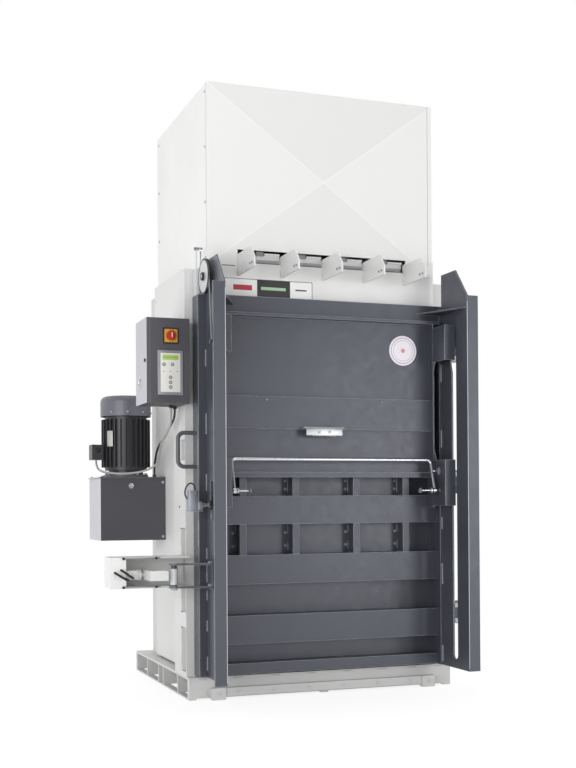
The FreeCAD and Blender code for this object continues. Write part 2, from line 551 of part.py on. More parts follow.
# ---- folded columns of the door: a slotted web with a peaked top and an outward front flange ----
WEB_OUT = "(%s + web_thick)" % SIDE_OUT
for side, name in ((-1, "door_column_left"), (1, "door_column_right")):
    start, end = span(side, SIDE_OUT, WEB_OUT)
    web = plate("x", [("-web_lap", "door_low"), ("-web_lap", "door_high"),
                      ("-peak_rear", "door_high"), ("-peak_rear", "peak_high"),
                      ("-peak_front", "peak_high"), ("-web_front", "web_top"),
                      ("-web_front", "door_low")], start, "web_thick", "web")
    flange = slab(*span(side, WEB_OUT, SIDE_OUT + " + web_flange"), "-web_front",
                  "-web_front + web_thick", "door_low", "web_top")
    through = (start + " - 1", "web_thick + 2")
    ends = [rod("x", through[0], "-slot_centre", height, through[1], "slot_width / 2")
            for height in ("slot_low + slot_width / 2", "slot_high - slot_width / 2")]
    straight = slab(start + " - 1", end + " + 1", "-slot_centre - slot_width / 2",
                    "-slot_centre + slot_width / 2", "slot_low + slot_width / 2",
                    "slot_high - slot_width / 2")
    bend = plate("x", [("-slot_centre + slot_width / 2 - 1", "slot_high - slot_bend"),
                       ("-slot_centre + slot_width / 2 + slot_middle_back",
                        "slot_high - slot_middle"),
                       ("-slot_centre + slot_width / 2 + slot_back",
                        "slot_high - slot_width / 2"),
                       ("-slot_centre + slot_width / 2 + slot_tip_back", "slot_high - slot_tip"),
                       ("-slot_centre", "slot_high")], through[0], through[1], "slot_bend")
    tools = [straight, bend, *ends]
    if side < 0:
        tools.append(slab(start + " - 1", end + " + 1", "-slot_centre", "-notch_rear",
                          "notch_low", "notch_high"))
    node(name, cut(fuse(web, flange), *tools))

# ---- hinges: pairs of lugs on the right column, a pin in each pair, arms welded to the door ----
lugs = []
arms = []
PIN = ("hinge_x", "-hinge_y")
for index in range(count_of("hinge_count")):
    low = "(hinge_low + %d * hinge_step)" % index
    high = "(%s + knuckle_tall + 2 * hinge_gap)" % low
    leaf = slab(OUTER, OUTER + " + leaf_thick", "leaf_front", "leaf_rear", low + " - lug_tall",
                high + " + lug_tall")
    ears = [slab(OUTER + " + leaf_thick", "hinge_x + knuckle_radius", "-hinge_y - knuckle_radius",
                 "leaf_rear", bottom, bottom + " + lug_tall")
            for bottom in (low + " - lug_tall", high)]
    hole = rod("z", *PIN, low + " - lug_tall - 1", "knuckle_tall + 2 * lug_tall + 4", "pin_radius")
    lugs.append(cut(fuse(leaf, *ears), hole))
    lugs.append(rod("z", *PIN, low + " - lug_tall - pin_stand",
                    high + " - " + low + " + 2 * lug_tall + 2 * pin_stand", "pin_radius"))
    arm = fuse(slab(SIDE_OUT, "hinge_x", "-hinge_y - arm_half", "-hinge_y + arm_half",
                    low + " + hinge_gap",
                    low + " + hinge_gap + knuckle_tall"),
               rod("z", *PIN, low + " + hinge_gap", "knuckle_tall", "knuckle_radius"))
    arms.append(cut(arm, rod("z", *PIN, low, "knuckle_tall + 2 * hinge_gap",
                             "pin_radius + shaft_fit")))
node("hinge_lugs", group(*lugs))
node("hinge_arms", group(*arms))

# ---- pull handle, bent from round bar ----
RAIL_OUT = "left_flange"
pull = [spot("-" + RAIL_OUT, "-pull_y", "pull_low"),
        spot("-%s - pull_reach" % RAIL_OUT, "-pull_y", "pull_low"),
        spot("-%s - pull_reach" % RAIL_OUT, "-pull_y", "pull_high"),
        spot("-" + RAIL_OUT, "-pull_y", "pull_high")]
node("pull_handle", shaped(tube(pull, value("pull_radius"), value("3 * pull_radius")), "pull"))

# ---- counterweight in its rail, with the pulley and the two runs of rope ----
rail_side = slab("-%s" % RAIL_OUT, "-%s + web_thick" % RAIL_OUT, "-rail_front + web_thick",
                 "door_back - flange_thick", "door_low", "rail_high")
rail_face = slab("-%s" % RAIL_OUT, "-" + SIDE_OUT, "-rail_front", "-rail_front + web_thick",
                 "door_low", "rail_high")
rail_foot = slab("-%s + web_thick" % RAIL_OUT, "-" + SIDE_OUT, "-rail_front + web_thick",
                 "door_back - flange_thick", "door_low", "door_low + web_thick")
node("counterweight_rail", group(rail_side, rail_face, rail_foot))
weight_left = "-%s + web_thick + weight_fit" % RAIL_OUT
weight_back = "door_back - flange_thick - weight_fit"
WEIGHT_TOP = "(weight_low + weight_tall)"
block = slab(weight_left, weight_left + " + weight_width", "-weight_front", weight_back,
             "weight_low", WEIGHT_TOP)
node("counterweight", fuse(block, rod("z", "-rope_x", "-rope_rear_y", WEIGHT_TOP, "eye_tall",
                                      "eye_radius")))
PULLEY_Y = "-pulley_y"
wheel = rod("x", "-rope_x - pulley_half", PULLEY_Y, "pulley_high", "2 * pulley_half",
            "pulley_radius + pulley_rim")
groove_outer = rod("x", "-rope_x - rope_radius", PULLEY_Y, "pulley_high", "2 * rope_radius",
                   "pulley_radius + pulley_rim + 1")
groove_inner = rod("x", "-rope_x - rope_radius", PULLEY_Y, "pulley_high", "2 * rope_radius",
                   "pulley_radius - rope_radius")
axle_hole = rod("x", "-rope_x - pulley_half - 1", PULLEY_Y, "pulley_high", "2 * pulley_half + 2",
                "axle_radius + shaft_fit")
node("pulley", cut(wheel, cut(groove_outer, groove_inner), axle_hole))
axle = rod("x", "-rope_x - pulley_half - axle_radius", PULLEY_Y, "pulley_high",
           "rope_x + pulley_half + axle_radius - " + WEB_OUT, "axle_radius")
cap = slab("-%s + cap_inset" % RAIL_OUT, "-%s - cap_gap" % SIDE_OUT, "-cap_front",
           "door_back - flange_thick", "rail_high", "cap_high")
strip = slab("-%s + cap_inset" % RAIL_OUT, "-%s + cap_inset + strip_thick" % RAIL_OUT,
             "-cap_front", "-cap_front + strip_wide", "cap_high", "strip_high")
node("pulley_bracket", group(axle, cap, strip))
rope_ends = [spot("-rope_x", "-slot_centre", "stud_upper + stud_radius + slide_fit"),
             spot("-rope_x", PULLEY_Y + " - pulley_radius", "pulley_high")]
run = rope_ends[1] - rope_ends[0]
front_run = shaped(Part.makeCylinder(value("rope_radius"), run.Length, rope_ends[0], run), "rope")
wrap = doc.addObject("Part::Torus", "rope_wrap")
wrap.setExpression("Radius1", tie("pulley_radius"))
wrap.setExpression("Radius2", tie("rope_radius"))
place(wrap, "-rope_x", PULLEY_Y, "pulley_high", TURNS["x"])
under_wrap = slab("-rope_x - pulley_half", "-rope_x + pulley_half",
                  "-slot_centre - pulley_half", PULLEY_Y + " + pulley_radius + pulley_half",
                  "pulley_high - pulley_radius - pulley_half", "pulley_high - rope_radius")
node("rope_front", fuse(front_run, cut(wrap, under_wrap)))
rope_ends = [spot("-rope_x", "-rope_rear_y", WEIGHT_TOP + " + eye_tall + slide_fit"),
             spot("-rope_x", PULLEY_Y + " + pulley_radius",
                  "pulley_high - rope_radius - slide_fit")]
run = rope_ends[1] - rope_ends[0]
node("rope_rear", shaped(Part.makeCylinder(value("rope_radius"), run.Length, rope_ends[0], run),
                         "rope"))

# ---- flap: sheet with lips and a rib, cheeks with brackets and bushes that run in the slots ----
SHEET_BACK = "-flap_front + flap_sheet"
sheet = slab("-flap_half", "flap_half", "-flap_front", SHEET_BACK, "flap_low", "flap_high")
low_lip = slab("-flap_half", "flap_half", "-flap_front - lip_reach", "-flap_front", "flap_low",
               "flap_low + lip_tall")
top_lip = slab("-top_lip_half", "top_lip_half", "-flap_front - top_lip_reach", SHEET_BACK,
               "flap_high - top_lip_tall", "flap_high")
flap_rib = cut(slab("-flap_half", "flap_half", "-flap_front - flap_rib_reach", "-flap_front",
                    "flap_rib_low", "flap_rib_high"),
               slab("-flap_half - 1", "flap_half + 1",
                    "-flap_front - flap_rib_reach + rib_wall", "-flap_front + 1",
                    "flap_rib_low + rib_wall", "flap_rib_high - rib_wall"))
node("flap_panel", fuse(sheet, low_lip, top_lip, flap_rib))
CHEEK = ("flap_half", "flap_half + cheek_thick")
cheek_parts = []
for side in (-1, 1):
    side_x = span(side, *CHEEK)
    cheek_parts.append(slab(*side_x, "-cheek_front", "-cheek_rear", "cheek_low",
                            "flap_high - top_lip_tall"))
    for low, high, height in (("upper_low", "upper_high", "stud_upper"),
                              ("lower_low", "lower_high", "stud_lower")):
        bracket = [slab(*side_x, "-bracket_front", "-cheek_front", low, high),
                   slab(*span(side, "flap_half", "flap_half + cheek_thick + bracket_reach"),
                        "-bracket_front", "-bracket_front + cheek_thick", low, high)]
        reach = "stud_rope_end" if side < 0 and height == "stud_upper" else "stud_end"
        start, end = span(side, "flap_half + cheek_thick", reach)
        bracket.append(rod("x", start, "-slot_centre", height, "%s - (%s)" % (end, start),
                           "stud_radius"))
        if height == "stud_lower":
            start, end = span(side, "bail_x - bail_eye_long / 2 - bail_pin_stand", "flap_half")
            bracket.append(rod("x", start, "-bail_y", "bail_low", "%s - (%s)" % (end, start),
                               "bail_pin"))
        cheek_parts.append(fuse(*bracket))
        start, end = span(side, "%s + web_thick / 2 - bush_long / 2" % SIDE_OUT,
                          "%s + web_thick / 2 + bush_long / 2" % SIDE_OUT)
        ring = rod("x", start, "-slot_centre", height, "bush_long", "slot_width / 2 - slide_fit")
        cheek_parts.append(cut(ring, rod("x", start + " - 1", "-slot_centre", height,
                                         "bush_long + 2", "stud_radius")))
node("flap_cheeks", group(*cheek_parts))
RIB_FACE = "-flap_front - flap_rib_reach"
node("flap_grip", fuse(
    slab("-grip_left", "grip_right", RIB_FACE + " - grip_reach", RIB_FACE,
         "grip_high - grip_thick", "grip_high"),
    slab("-grip_left + grip_bar_inset", "grip_right - grip_bar_inset",
         RIB_FACE + " - grip_reach", RIB_FACE + " - grip_reach + grip_bar_thick",
         "grip_high - grip_thick - grip_bar_tall", "grip_high - grip_thick")))
node("round_plate", rod("y", "disc_x", "-flap_front - disc_thick", "disc_z", "disc_thick",
                        "disc_radius"))

# ---- bail: a round bar bent to a wide U, with an eye on each pin of the flap's cheeks ----
foot = "bail_low + bail_eye - bail_sink"
hoop = [spot("-bail_x", "-bail_y", foot), spot("-bail_x", "-bail_top_y", "bail_high"),
        spot("bail_x", "-bail_top_y", "bail_high"), spot("bail_x", "-bail_y", foot)]
bail_bar = shaped(tube(hoop, value("bail_radius"), value("bail_bend")), "hoop")
eyes = [rod("x", "%d * bail_x - bail_eye_long / 2" % side, "-bail_y", "bail_low",
            "bail_eye_long", "bail_eye") for side in (-1, 1)]
eye_holes = [rod("x", "%d * bail_x - bail_eye_long / 2 - bail_pin_stand" % side, "-bail_y",
                 "bail_low", "bail_eye_long + 2 * bail_pin_stand", "bail_pin + shaft_fit")
             for side in (-1, 1)]
node("bail", cut(fuse(bail_bar, *eyes), *eye_holes))

# ---- limit switch on the left door column, and the clamp knob on its spindle ----
switch_box = slab("-switch_left", "-switch_right", "-switch_y - switch_deep / 2",
                  "-switch_y + switch_deep / 2", "switch_low", "switch_low + switch_tall")
switch_foot = slab("-switch_left", "-" + WEB_OUT, "-switch_y - switch_deep / 2",
                   "-notch_rear + switch_lap", "switch_low - web_thick", "switch_low")
spindle = rod("x", "-switch_right", "-switch_y", "spindle_z", "switch_right - spindle_end",
              "spindle_radius")
node("limit_switch", fuse(switch_box, spindle, switch_foot))
knob = rod("x", "-spindle_end - knob_long", "-switch_y", "spindle_z", "knob_long", "knob_radius")
bites = []
for index in range(count_of("knob_lobes")):
    angle = 2 * math.pi * index / count_of("knob_lobes")
    bites.append(rod("x", "-spindle_end - knob_long - 1",
                     "-switch_y + knob_radius * %.6f" % math.cos(angle),
                     "spindle_z + knob_radius * %.6f" % math.sin(angle),
                     "knob_long + 2", "knob_bite"))
knob_bore = rod("x", "-spindle_end - knob_long - 1", "-switch_y", "spindle_z", "knob_long + 2",
                "spindle_radius + shaft_fit")
node("star_knob", cut(knob, knob_bore, *bites))

# ---- hydraulic door lock: arms and pin on the door, ram and jaw in a channel on the column ----
foot_plate = slab("-%s - arm_foot" % WEB_OUT, "-" + WEB_OUT, "-arm_foot_front",
                  "-arm_foot_rear", "arm_foot_low", "arm_foot_high")
arm_pieces = [foot_plate]
for low in ("arm_low", "arm_high"):
    outline = [("-%s - arm_foot" % WEB_OUT, "-arm_foot_front"),
               ("-%s - arm_foot" % WEB_OUT, "-arm_foot_rear"),
               ("-bolt_x", "-bolt_y + arm_end_radius"),
               ("-bolt_x - arm_end_radius", "-bolt_y + arm_end_radius / 2"),
               ("-bolt_x - arm_end_radius", "-bolt_y - arm_end_radius / 2"),
               ("-bolt_x", "-bolt_y - arm_end_radius")]
    arm_pieces.append(plate("z", outline, low, "arm_thick", "lock_arm"))
arm_pieces.append(rod("z", "-bolt_x", "-bolt_y", "arm_low + arm_thick",
                      "arm_high - arm_low - arm_thick", "lock_pin_radius"))
node("lock_arms", fuse(*arm_pieces))
channel = cut(slab("-lock_left", "-" + OUTER, "-lock_front", "lock_rear", "lock_low", "lock_high"),
              slab("-lock_left + lock_plate", "-%s + 1" % OUTER, "-lock_front - 1",
                   "lock_rear - lock_plate", "lock_low + lock_plate", "lock_high - lock_plate"))
apron = slab("-lock_left + lock_plate", "-lock_cover", "-lock_front", "-lock_front + lock_plate",
             "lock_low + lock_plate", "lock_high - lock_plate")
node("lock_housing", fuse(channel, apron))
ram_left = "-lock_left + lock_plate"
ram = rod("x", ram_left, "lock_y", "lock_z", "lock_left - lock_plate - ram_end", "ram_radius")
ram_hole = rod("x", ram_left + " + lock_plate", "lock_y", "lock_z",
               "lock_left - lock_plate - ram_end", "ram_rod + shaft_fit")
ports = slab("-lock_cover - port_half", "-lock_cover + 3 * port_half",
             "lock_y - ram_radius - port_stand", "lock_y - ram_radius / 2",
             "lock_z - port_half", "lock_z + port_half")
node("lock_cylinder", cut(fuse(ram, ports), ram_hole))
jaw_outline = [("-jaw_left", "-jaw_front"), ("-jaw_tip", "-jaw_front"),
               ("-jaw_tip", "-jaw_front + jaw_finger"), ("-jaw_right", "-jaw_front + jaw_finger"),
               ("-jaw_right", "-jaw_front + jaw_finger + jaw_mouth"),
               ("-jaw_tip", "-jaw_front + jaw_finger + jaw_mouth"),
               ("-jaw_tip", "-jaw_front + 2 * jaw_finger + jaw_mouth"),
               ("-jaw_right", "-jaw_front + 2 * jaw_finger + jaw_mouth"),
               ("-jaw_right", "lock_y + jaw_back"), ("-jaw_left", "lock_y + jaw_back")]
jaw = plate("z", jaw_outline, "lock_z - jaw_tall / 2", "jaw_tall", "jaw_block")
jaw_rod_start = ram_left + " + 2 * lock_plate + jaw_tall"
node("lock_jaw", fuse(jaw, rod("x", jaw_rod_start, "lock_y", "lock_z",
                               "-jaw_left - (%s)" % jaw_rod_start, "ram_rod")))
hoses = []
for index in range(count_of("hose_count")):
    port_x = "-lock_cover + 3 * hose_radius + %d * hose_step" % index
    port_z = "lock_z + hose_bend / 2 - %d * hose_bend" % index
    end_x = "-lock_cover - 3 * hose_radius - %d * hose_step" % index
    port_face = "lock_y - ram_radius - port_stand"
    path = [spot(port_x, port_face, port_z), spot(port_x, "-hose_out", port_z),
            spot(end_x, "-hose_out", port_z), spot(end_x, "-lock_front", port_z)]
    hoses.append(shaped(tube(path, value("hose_radius"), value("hose_bend")), "hose"))
node("lock_hoses", group(*hoses))

# ---- control cabinet on the left column, open to the left under its hinged lid ----
CAB_RIGHT = "-" + OUTER
box = slab("-cabinet_left", CAB_RIGHT, "-cabinet_front", "cabinet_rear", "cabinet_low",
           "cabinet_high")
inside = slab("-cabinet_left - 1", CAB_RIGHT + " - cabinet_sheet",
              "-cabinet_front + cabinet_sheet", "cabinet_rear - cabinet_sheet",
              "cabinet_low + cabinet_sheet", "cabinet_high - cabinet_sheet")
shaft_hole = rod("y", "-main_x", "-cabinet_front - 1", "main_z", "cabinet_sheet + 2",
                 "dial_shaft + shaft_fit")
cabinet = cut(box, inside, shaft_hole)
LID_X = "-cabinet_left - lid_gap - lid_deep / 2"
pins = []
for index in range(count_of("lid_hinge_count")):
    low = "lid_hinge_low + %d * lid_hinge_step" % index
    pins.append(rod("z", LID_X, "lid_axis_y", low, "lid_sleeve_tall + lid_leaf", "lid_pin"))
    pins.append(slab(LID_X + " - lid_pin", "-cabinet_left + 2 * lid_leaf", "cabinet_rear",
                     "lid_axis_y + lid_pin", low + " + lid_sleeve_tall + lid_leaf_gap",
                     low + " + lid_sleeve_tall + lid_leaf"))
node("control_cabinet", fuse(cabinet, *pins))
LID_LEFT = "-cabinet_left - lid_gap - lid_deep"
LID_RIGHT = "-cabinet_left - lid_gap"
tray = slab(LID_LEFT, LID_RIGHT, "-cabinet_front", "cabinet_rear - lid_back_gap", "cabinet_low",
            "cabinet_high")
tray_hollow = slab(LID_LEFT + " + lid_sheet", LID_RIGHT + " + 1", "-cabinet_front + lid_sheet",
                   "cabinet_rear - lid_back_gap - lid_sheet", "cabinet_low + lid_sheet",
                   "cabinet_high - lid_sheet")
lock_hole = rod("x", LID_LEFT + " - 1", "-lid_lock_y", "lid_lock_z", "lid_sheet + 2",
                "lock_shaft + shaft_fit")
sleeves = []
sleeve_holes = []
for index in range(count_of("lid_hinge_count")):
    low = "lid_hinge_low + %d * lid_hinge_step" % index
    sleeves.append(rod("z", LID_X, "lid_axis_y", low, "lid_sleeve_tall", "lid_sleeve"))
    sleeves.append(slab(LID_X + " - lid_sleeve", LID_X + " + lid_leaf_lap",
                        "cabinet_rear - lid_back_gap - lid_sheet", "lid_axis_y", low,
                        low + " + lid_sleeve_tall"))
    sleeve_holes.append(rod("z", LID_X, "lid_axis_y", low + " - 1", "lid_sleeve_tall + 2",
                            "lid_pin + shaft_fit"))
node("cabinet_lid", cut(fuse(cut(tray, tray_hollow), *sleeves), lock_hole, *sleeve_holes))
lock_head = rod("x", LID_LEFT + " - lock_proud", "-lid_lock_y", "lid_lock_z", "lock_proud",
                "lock_barrel")
lock_stem = rod("x", LID_LEFT, "-lid_lock_y", "lid_lock_z", "lid_deep / 2", "lock_shaft")
cam = slab(LID_LEFT + " + lid_sheet + cam_gap", LID_LEFT + " + lid_sheet + cam_gap + cam_thick",
           "-lid_lock_y - cam_wide / 2", "-lid_lock_y + cam_wide / 2", "lid_lock_z - cam_wide / 2",
           "lid_lock_z + cam_long")
node("cabinet_lock", fuse(lock_head, lock_stem, cam))
CAB_FRONT = "-cabinet_front"
switch_plate = slab("-main_x - plate_half", "-main_x + plate_half", CAB_FRONT + " - plate_thick",
                    CAB_FRONT, "main_z - plate_half", "main_z + plate_half")
plate_hole = rod("y", "-main_x", CAB_FRONT + " - plate_thick - 1", "main_z", "plate_thick + 2",
                 "dial_shaft + shaft_fit")
yellow_plate = cut(switch_plate, plate_hole)
dial_front = CAB_FRONT + " - plate_thick - dial_thick"
node("main_switch", fuse(
    rod("y", "-main_x", dial_front, "main_z", "dial_thick", "dial_radius"),
    rod("y", "-main_x", dial_front, "main_z", "dial_thick + dial_shaft_long", "dial_shaft"),
    slab("-main_x - dial_bar / 2", "-main_x + dial_bar / 2", dial_front + " - dial_grip",
         dial_front, "main_z - dial_radius", "main_z + dial_radius")))
PANEL_FACE = CAB_FRONT + " - panel_thick"
pad_front = PANEL_FACE + " - keypad_thick"
bezel = slab("-panel_left", "-panel_right", PANEL_FACE, CAB_FRONT, "panel_low", "panel_high")
keypad = slab("-panel_left + keypad_inset", "-panel_right - keypad_inset", pad_front, PANEL_FACE,
              "panel_low + keypad_inset", "panel_high - keypad_inset")
screen_high = "panel_high - keypad_inset - screen_inset"
screen = slab("-panel_left + keypad_inset + screen_inset",
              "-panel_right - keypad_inset - screen_inset", pad_front + " - key_thick", pad_front,
              screen_high + " - screen_tall", screen_high)
keys = []
PANEL_X = "-(panel_left + panel_right) / 2"
# the keys' places, in steps across from the middle and down from the screen
key_spots = [(-1.2, 1), (0.3, 1), (-1.2, 2), (0, 2), (1.2, 2), (0, 3), (0, 4), (0, 5)]
for across, down in key_spots:
    keys.append(rod("y", "%s + %.1f * key_step" % (PANEL_X, across), pad_front + " - key_thick",
                    "%s - screen_tall - %d * key_step" % (screen_high, down), "key_thick",
                    "key_radius"))
node("operator_panel", group(yellow_plate, bezel, keypad, screen, *keys))

# ---- power unit: oil tank on a hanger, pump under its lid, finned motor with fan and cowl ----
tank = cut(slab("-tank_left", "-tank_right", "tank_front", "tank_rear", "tank_low", "tank_high"),
           slab("-tank_left + tank_sheet", "-tank_right - tank_sheet", "tank_front + tank_sheet",
                "tank_rear - tank_sheet", "tank_low + tank_sheet", "tank_high + 1"))
hanger = slab("-tank_right", "-" + WALL, "cover_rear", "tank_rear", "hanger_low", "hanger_high")
node("oil_tank", fuse(tank, hanger))
MOTOR = ("-motor_x", "motor_y")
LID_TOP = "(tank_high + tank_lid)"
node("tank_lid", cut(slab("-tank_left - tank_lap", "-tank_right", "tank_front - tank_lap",
                          "tank_rear + tank_lap", "tank_high", LID_TOP),
                     rod("z", *MOTOR, "tank_high - 1", "tank_lid + 2", "bell_radius - bell_wall")))
node("oil_gauge", rod("y", "-gauge_x", "tank_front - gauge_tall", "gauge_z", "gauge_tall",
                      "gauge_radius"))
MOTOR_LOW = "(%s + bell_tall)" % LID_TOP
MOTOR_HIGH = "(%s + motor_tall)" % MOTOR_LOW
stator = rod("z", *MOTOR, MOTOR_LOW, "motor_tall", "motor_radius")
bell = rod("z", *MOTOR, LID_TOP, "bell_tall", "bell_radius")
cooling_fins = []
for index in range(count_of("fin_count")):
    fin = doc.addObject("Part::Box", "cooling_fin")
    fin.setExpression("Length", tie("fin_radius - motor_radius + fin_wide"))
    fin.setExpression("Width", tie("fin_wide"))
    fin.setExpression("Height", tie("motor_tall - 2 * shield_tall"))
    angle = 2 * math.pi * index / count_of("fin_count")
    reach = "(motor_radius - fin_wide)"
    across = "%.6f * %s - %.6f * fin_wide / 2" % (math.cos(angle), reach, -math.sin(angle))
    along = "%.6f * %s - %.6f * fin_wide / 2" % (math.sin(angle), reach, math.cos(angle))
    place(fin, "-motor_x + " + across, "motor_y + " + along, MOTOR_LOW + " + shield_tall",
          Rotation(Vector(0, 0, 1), math.degrees(angle)))
    cooling_fins.append(fin)
stator_bore = rod("z", *MOTOR, MOTOR_LOW + " + shield_tall", "motor_tall - 2 * shield_tall",
                  "stator_bore")
bell_bore = rod("z", *MOTOR, LID_TOP + " - 1", "bell_tall + 1", "bell_radius - bell_wall")
shaft_bore = rod("z", *MOTOR, LID_TOP, "bell_tall + motor_tall + 1", "motor_shaft + shaft_fit")
node("motor_housing", cut(fuse(stator, bell, *cooling_fins), stator_bore, bell_bore, shaft_bore))
cowl = rod("z", *MOTOR, MOTOR_HIGH, "cowl_tall", "cowl_radius")
cowl_inside = rod("z", *MOTOR, MOTOR_HIGH + " - 1", "cowl_tall + 1 - cowl_sheet",
                  "cowl_radius - cowl_sheet")
slots = [slab("-motor_x - cowl_hole", "-motor_x + cowl_hole",
              "motor_y + (%d - (cowl_slots - 1) / 2) * cowl_slot_step - fin_wide" % row,
              "motor_y + (%d - (cowl_slots - 1) / 2) * cowl_slot_step + fin_wide" % row,
              MOTOR_HIGH + " + cowl_tall - cowl_sheet - 1", MOTOR_HIGH + " + cowl_tall + 1")
         for row in range(count_of("cowl_slots"))]
spokes = rod("z", *MOTOR, MOTOR_HIGH + " - 1", "cowl_sheet + 1", "motor_radius")
ring = rod("z", *MOTOR, MOTOR_HIGH, "cowl_sheet", "cowl_radius")
node("fan_cowl", fuse(cut(cowl, cowl_inside, *slots), cut(ring, spokes)))
FAN_LOW = "(%s + fan_low)" % MOTOR_HIGH
blades = [rod("z", *MOTOR, FAN_LOW, "fan_tall", "fan_hub"),
          rod("z", *MOTOR, FAN_LOW, "fan_plate", "fan_radius")]
for index in range(count_of("fan_blades")):
    angle = 2 * math.pi * index / count_of("fan_blades")
    blade = doc.addObject("Part::Box", "fan_blade")
    blade.setExpression("Length", tie("fan_radius - fan_hub / 2"))
    blade.setExpression("Width", tie("fan_blade"))
    blade.setExpression("Height", tie("fan_tall"))
    place(blade, "-motor_x + %.6f * fan_hub / 2" % math.cos(angle),
          "motor_y + %.6f * fan_hub / 2" % math.sin(angle), FAN_LOW,
          Rotation(Vector(0, 0, 1), math.degrees(angle)))
    blades.append(blade)
shaft_low = "(tank_high - pump_tall + pump_floor + shaft_end_gap)"
rotor = [rod("z", *MOTOR, shaft_low, FAN_LOW + " + fan_tall - " + shaft_low, "motor_shaft"),
         rod("z", *MOTOR, MOTOR_LOW + " + shield_tall + rotor_gap",
             "motor_tall - 2 * shield_tall - 2 * rotor_gap", "stator_bore - rotor_gap")]
node("motor_rotor", fuse(*rotor, *blades))
pump = rod("z", *MOTOR, "tank_high - pump_tall", "pump_tall", "pump_radius")
flange = slab("-motor_x - bell_radius", "-motor_x + bell_radius", "motor_y - bell_radius",
              "motor_y + bell_radius", "tank_high - tank_lid", "tank_high")
node("hydraulic_pump", cut(fuse(pump, flange), rod("z", *MOTOR, shaft_low + " - shaft_end_gap / 2",
                                                   "pump_tall", "motor_shaft + shaft_fit")))
node("terminal_box", slab("-motor_x - fin_radius - terminal_long", "-motor_x - fin_radius",
                          "motor_y - terminal_wide / 2", "motor_y + terminal_wide / 2",
                          "terminal_low", "terminal_low + terminal_tall"))


def cable(name, route):
    """A cable held at both ends, along a route of hand-set points from the base's front face."""
    front = value("base_depth / 2")
    return node(name, shaped(tube([Vector(x, y - front, z) for x, y, z in route],
                                  value("cable_radius")), name + "_run"))


cable("motor_cable", MOTOR_CABLE)
cable("valve_cable", VALVE_CABLE)
cable_glands = []
for route in (MOTOR_CABLE, VALVE_CABLE):
    end = route[-1]
    cable_glands.append(rod("z", "%d" % end[0], "%d" % end[1], "cabinet_low - gland_tall",
                            "gland_tall", "gland_radius"))
start = VALVE_CABLE[0]
cable_glands.append(rod("z", "%d" % start[0], "%d" % start[1], LID_TOP,
                        "%d - %s" % (start[2], LID_TOP), "gland_radius"))
node("cable_glands", group(*cable_glands))

doc.recompute()
os.makedirs("parts", exist_ok=True)
faults = [item.Label for item in doc.Objects if {"Invalid", "Error"} & set(item.State)]
for item in NODES:
    if item.Shape.isNull() or not item.Shape.isValid() or not item.Shape.Solids:
        faults.append(item.Label)
if faults:
    raise RuntimeError("these did not build: " + ", ".join(sorted(set(faults))))
for item in NODES:
    item.Shape.exportStep("parts/%s.step" % item.Label)
print("%d nodes, %d solids" % (len(NODES), sum(len(item.Shape.Solids) for item in NODES)))
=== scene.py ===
"""The looks of an upright recycling baler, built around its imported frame."""
import math

import bmesh
import bpy
from mathutils import Matrix, Vector


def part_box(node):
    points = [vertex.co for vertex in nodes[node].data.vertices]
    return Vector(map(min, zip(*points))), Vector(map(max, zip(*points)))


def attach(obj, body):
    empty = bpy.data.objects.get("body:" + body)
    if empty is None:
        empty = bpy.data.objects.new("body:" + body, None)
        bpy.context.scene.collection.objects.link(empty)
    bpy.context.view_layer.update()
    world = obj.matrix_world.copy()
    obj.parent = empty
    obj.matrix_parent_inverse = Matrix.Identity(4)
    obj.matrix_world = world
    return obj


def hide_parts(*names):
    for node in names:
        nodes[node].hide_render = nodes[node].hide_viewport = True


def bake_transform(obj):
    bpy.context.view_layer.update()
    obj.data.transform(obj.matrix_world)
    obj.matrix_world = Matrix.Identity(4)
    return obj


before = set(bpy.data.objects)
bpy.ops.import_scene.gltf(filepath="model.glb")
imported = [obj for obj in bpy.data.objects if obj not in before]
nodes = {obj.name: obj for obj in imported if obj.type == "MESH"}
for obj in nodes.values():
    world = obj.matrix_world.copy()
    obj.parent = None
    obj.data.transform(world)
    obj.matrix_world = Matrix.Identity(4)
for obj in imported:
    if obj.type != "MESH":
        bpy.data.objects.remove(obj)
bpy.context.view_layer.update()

# ---- view: a standing eye, 6 m in front of the base and 2.4 m to its left ----
# A long lens, held level.  It is shifted up instead of tilted, so that the columns stay upright.
EYE = Vector((-2.386, -6.665, 1.035))
YAW, PITCH, ROLL = math.radians(19.852), math.radians(0.377), math.radians(-0.360)
lens = bpy.data.cameras.new("view")
lens.lens = 55.86
lens.sensor_width = 36
lens.shift_y = 0.1435
lens.clip_end = 60
camera = bpy.data.objects.new("view", lens)
bpy.context.scene.collection.objects.link(camera)
ahead = Vector((math.sin(YAW) * math.cos(PITCH), math.cos(YAW) * math.cos(PITCH), math.sin(PITCH)))
level = Vector((math.cos(YAW), -math.sin(YAW), 0))
upward = level.cross(ahead)
right = level * math.cos(ROLL) + upward * math.sin(ROLL)
above = upward * math.cos(ROLL) - level * math.sin(ROLL)
camera.matrix_world = Matrix.Translation(EYE) @ Matrix((right, above, -ahead)).transposed().to_4x4()
bpy.context.scene.camera = camera
bpy.context.scene.view_settings.view_transform = "Standard"


# ---- studio: white floor and backdrop, soft lamps at the left, in front, above and at the right ----
# The left lamp is the strongest, and the right one only draws a bright line on rounded edges.
# The room is white behind the machine and darker behind the eye.
def linear(hex_colour):
    """An sRGB hex colour as linear red, green, blue and alpha."""
    parts = [int(hex_colour[i:i + 2], 16) / 255 for i in (1, 3, 5)]
    return [c / 12.92 if c <= 0.04045 else ((c + 0.055) / 1.055) ** 2.4 for c in parts] + [1]


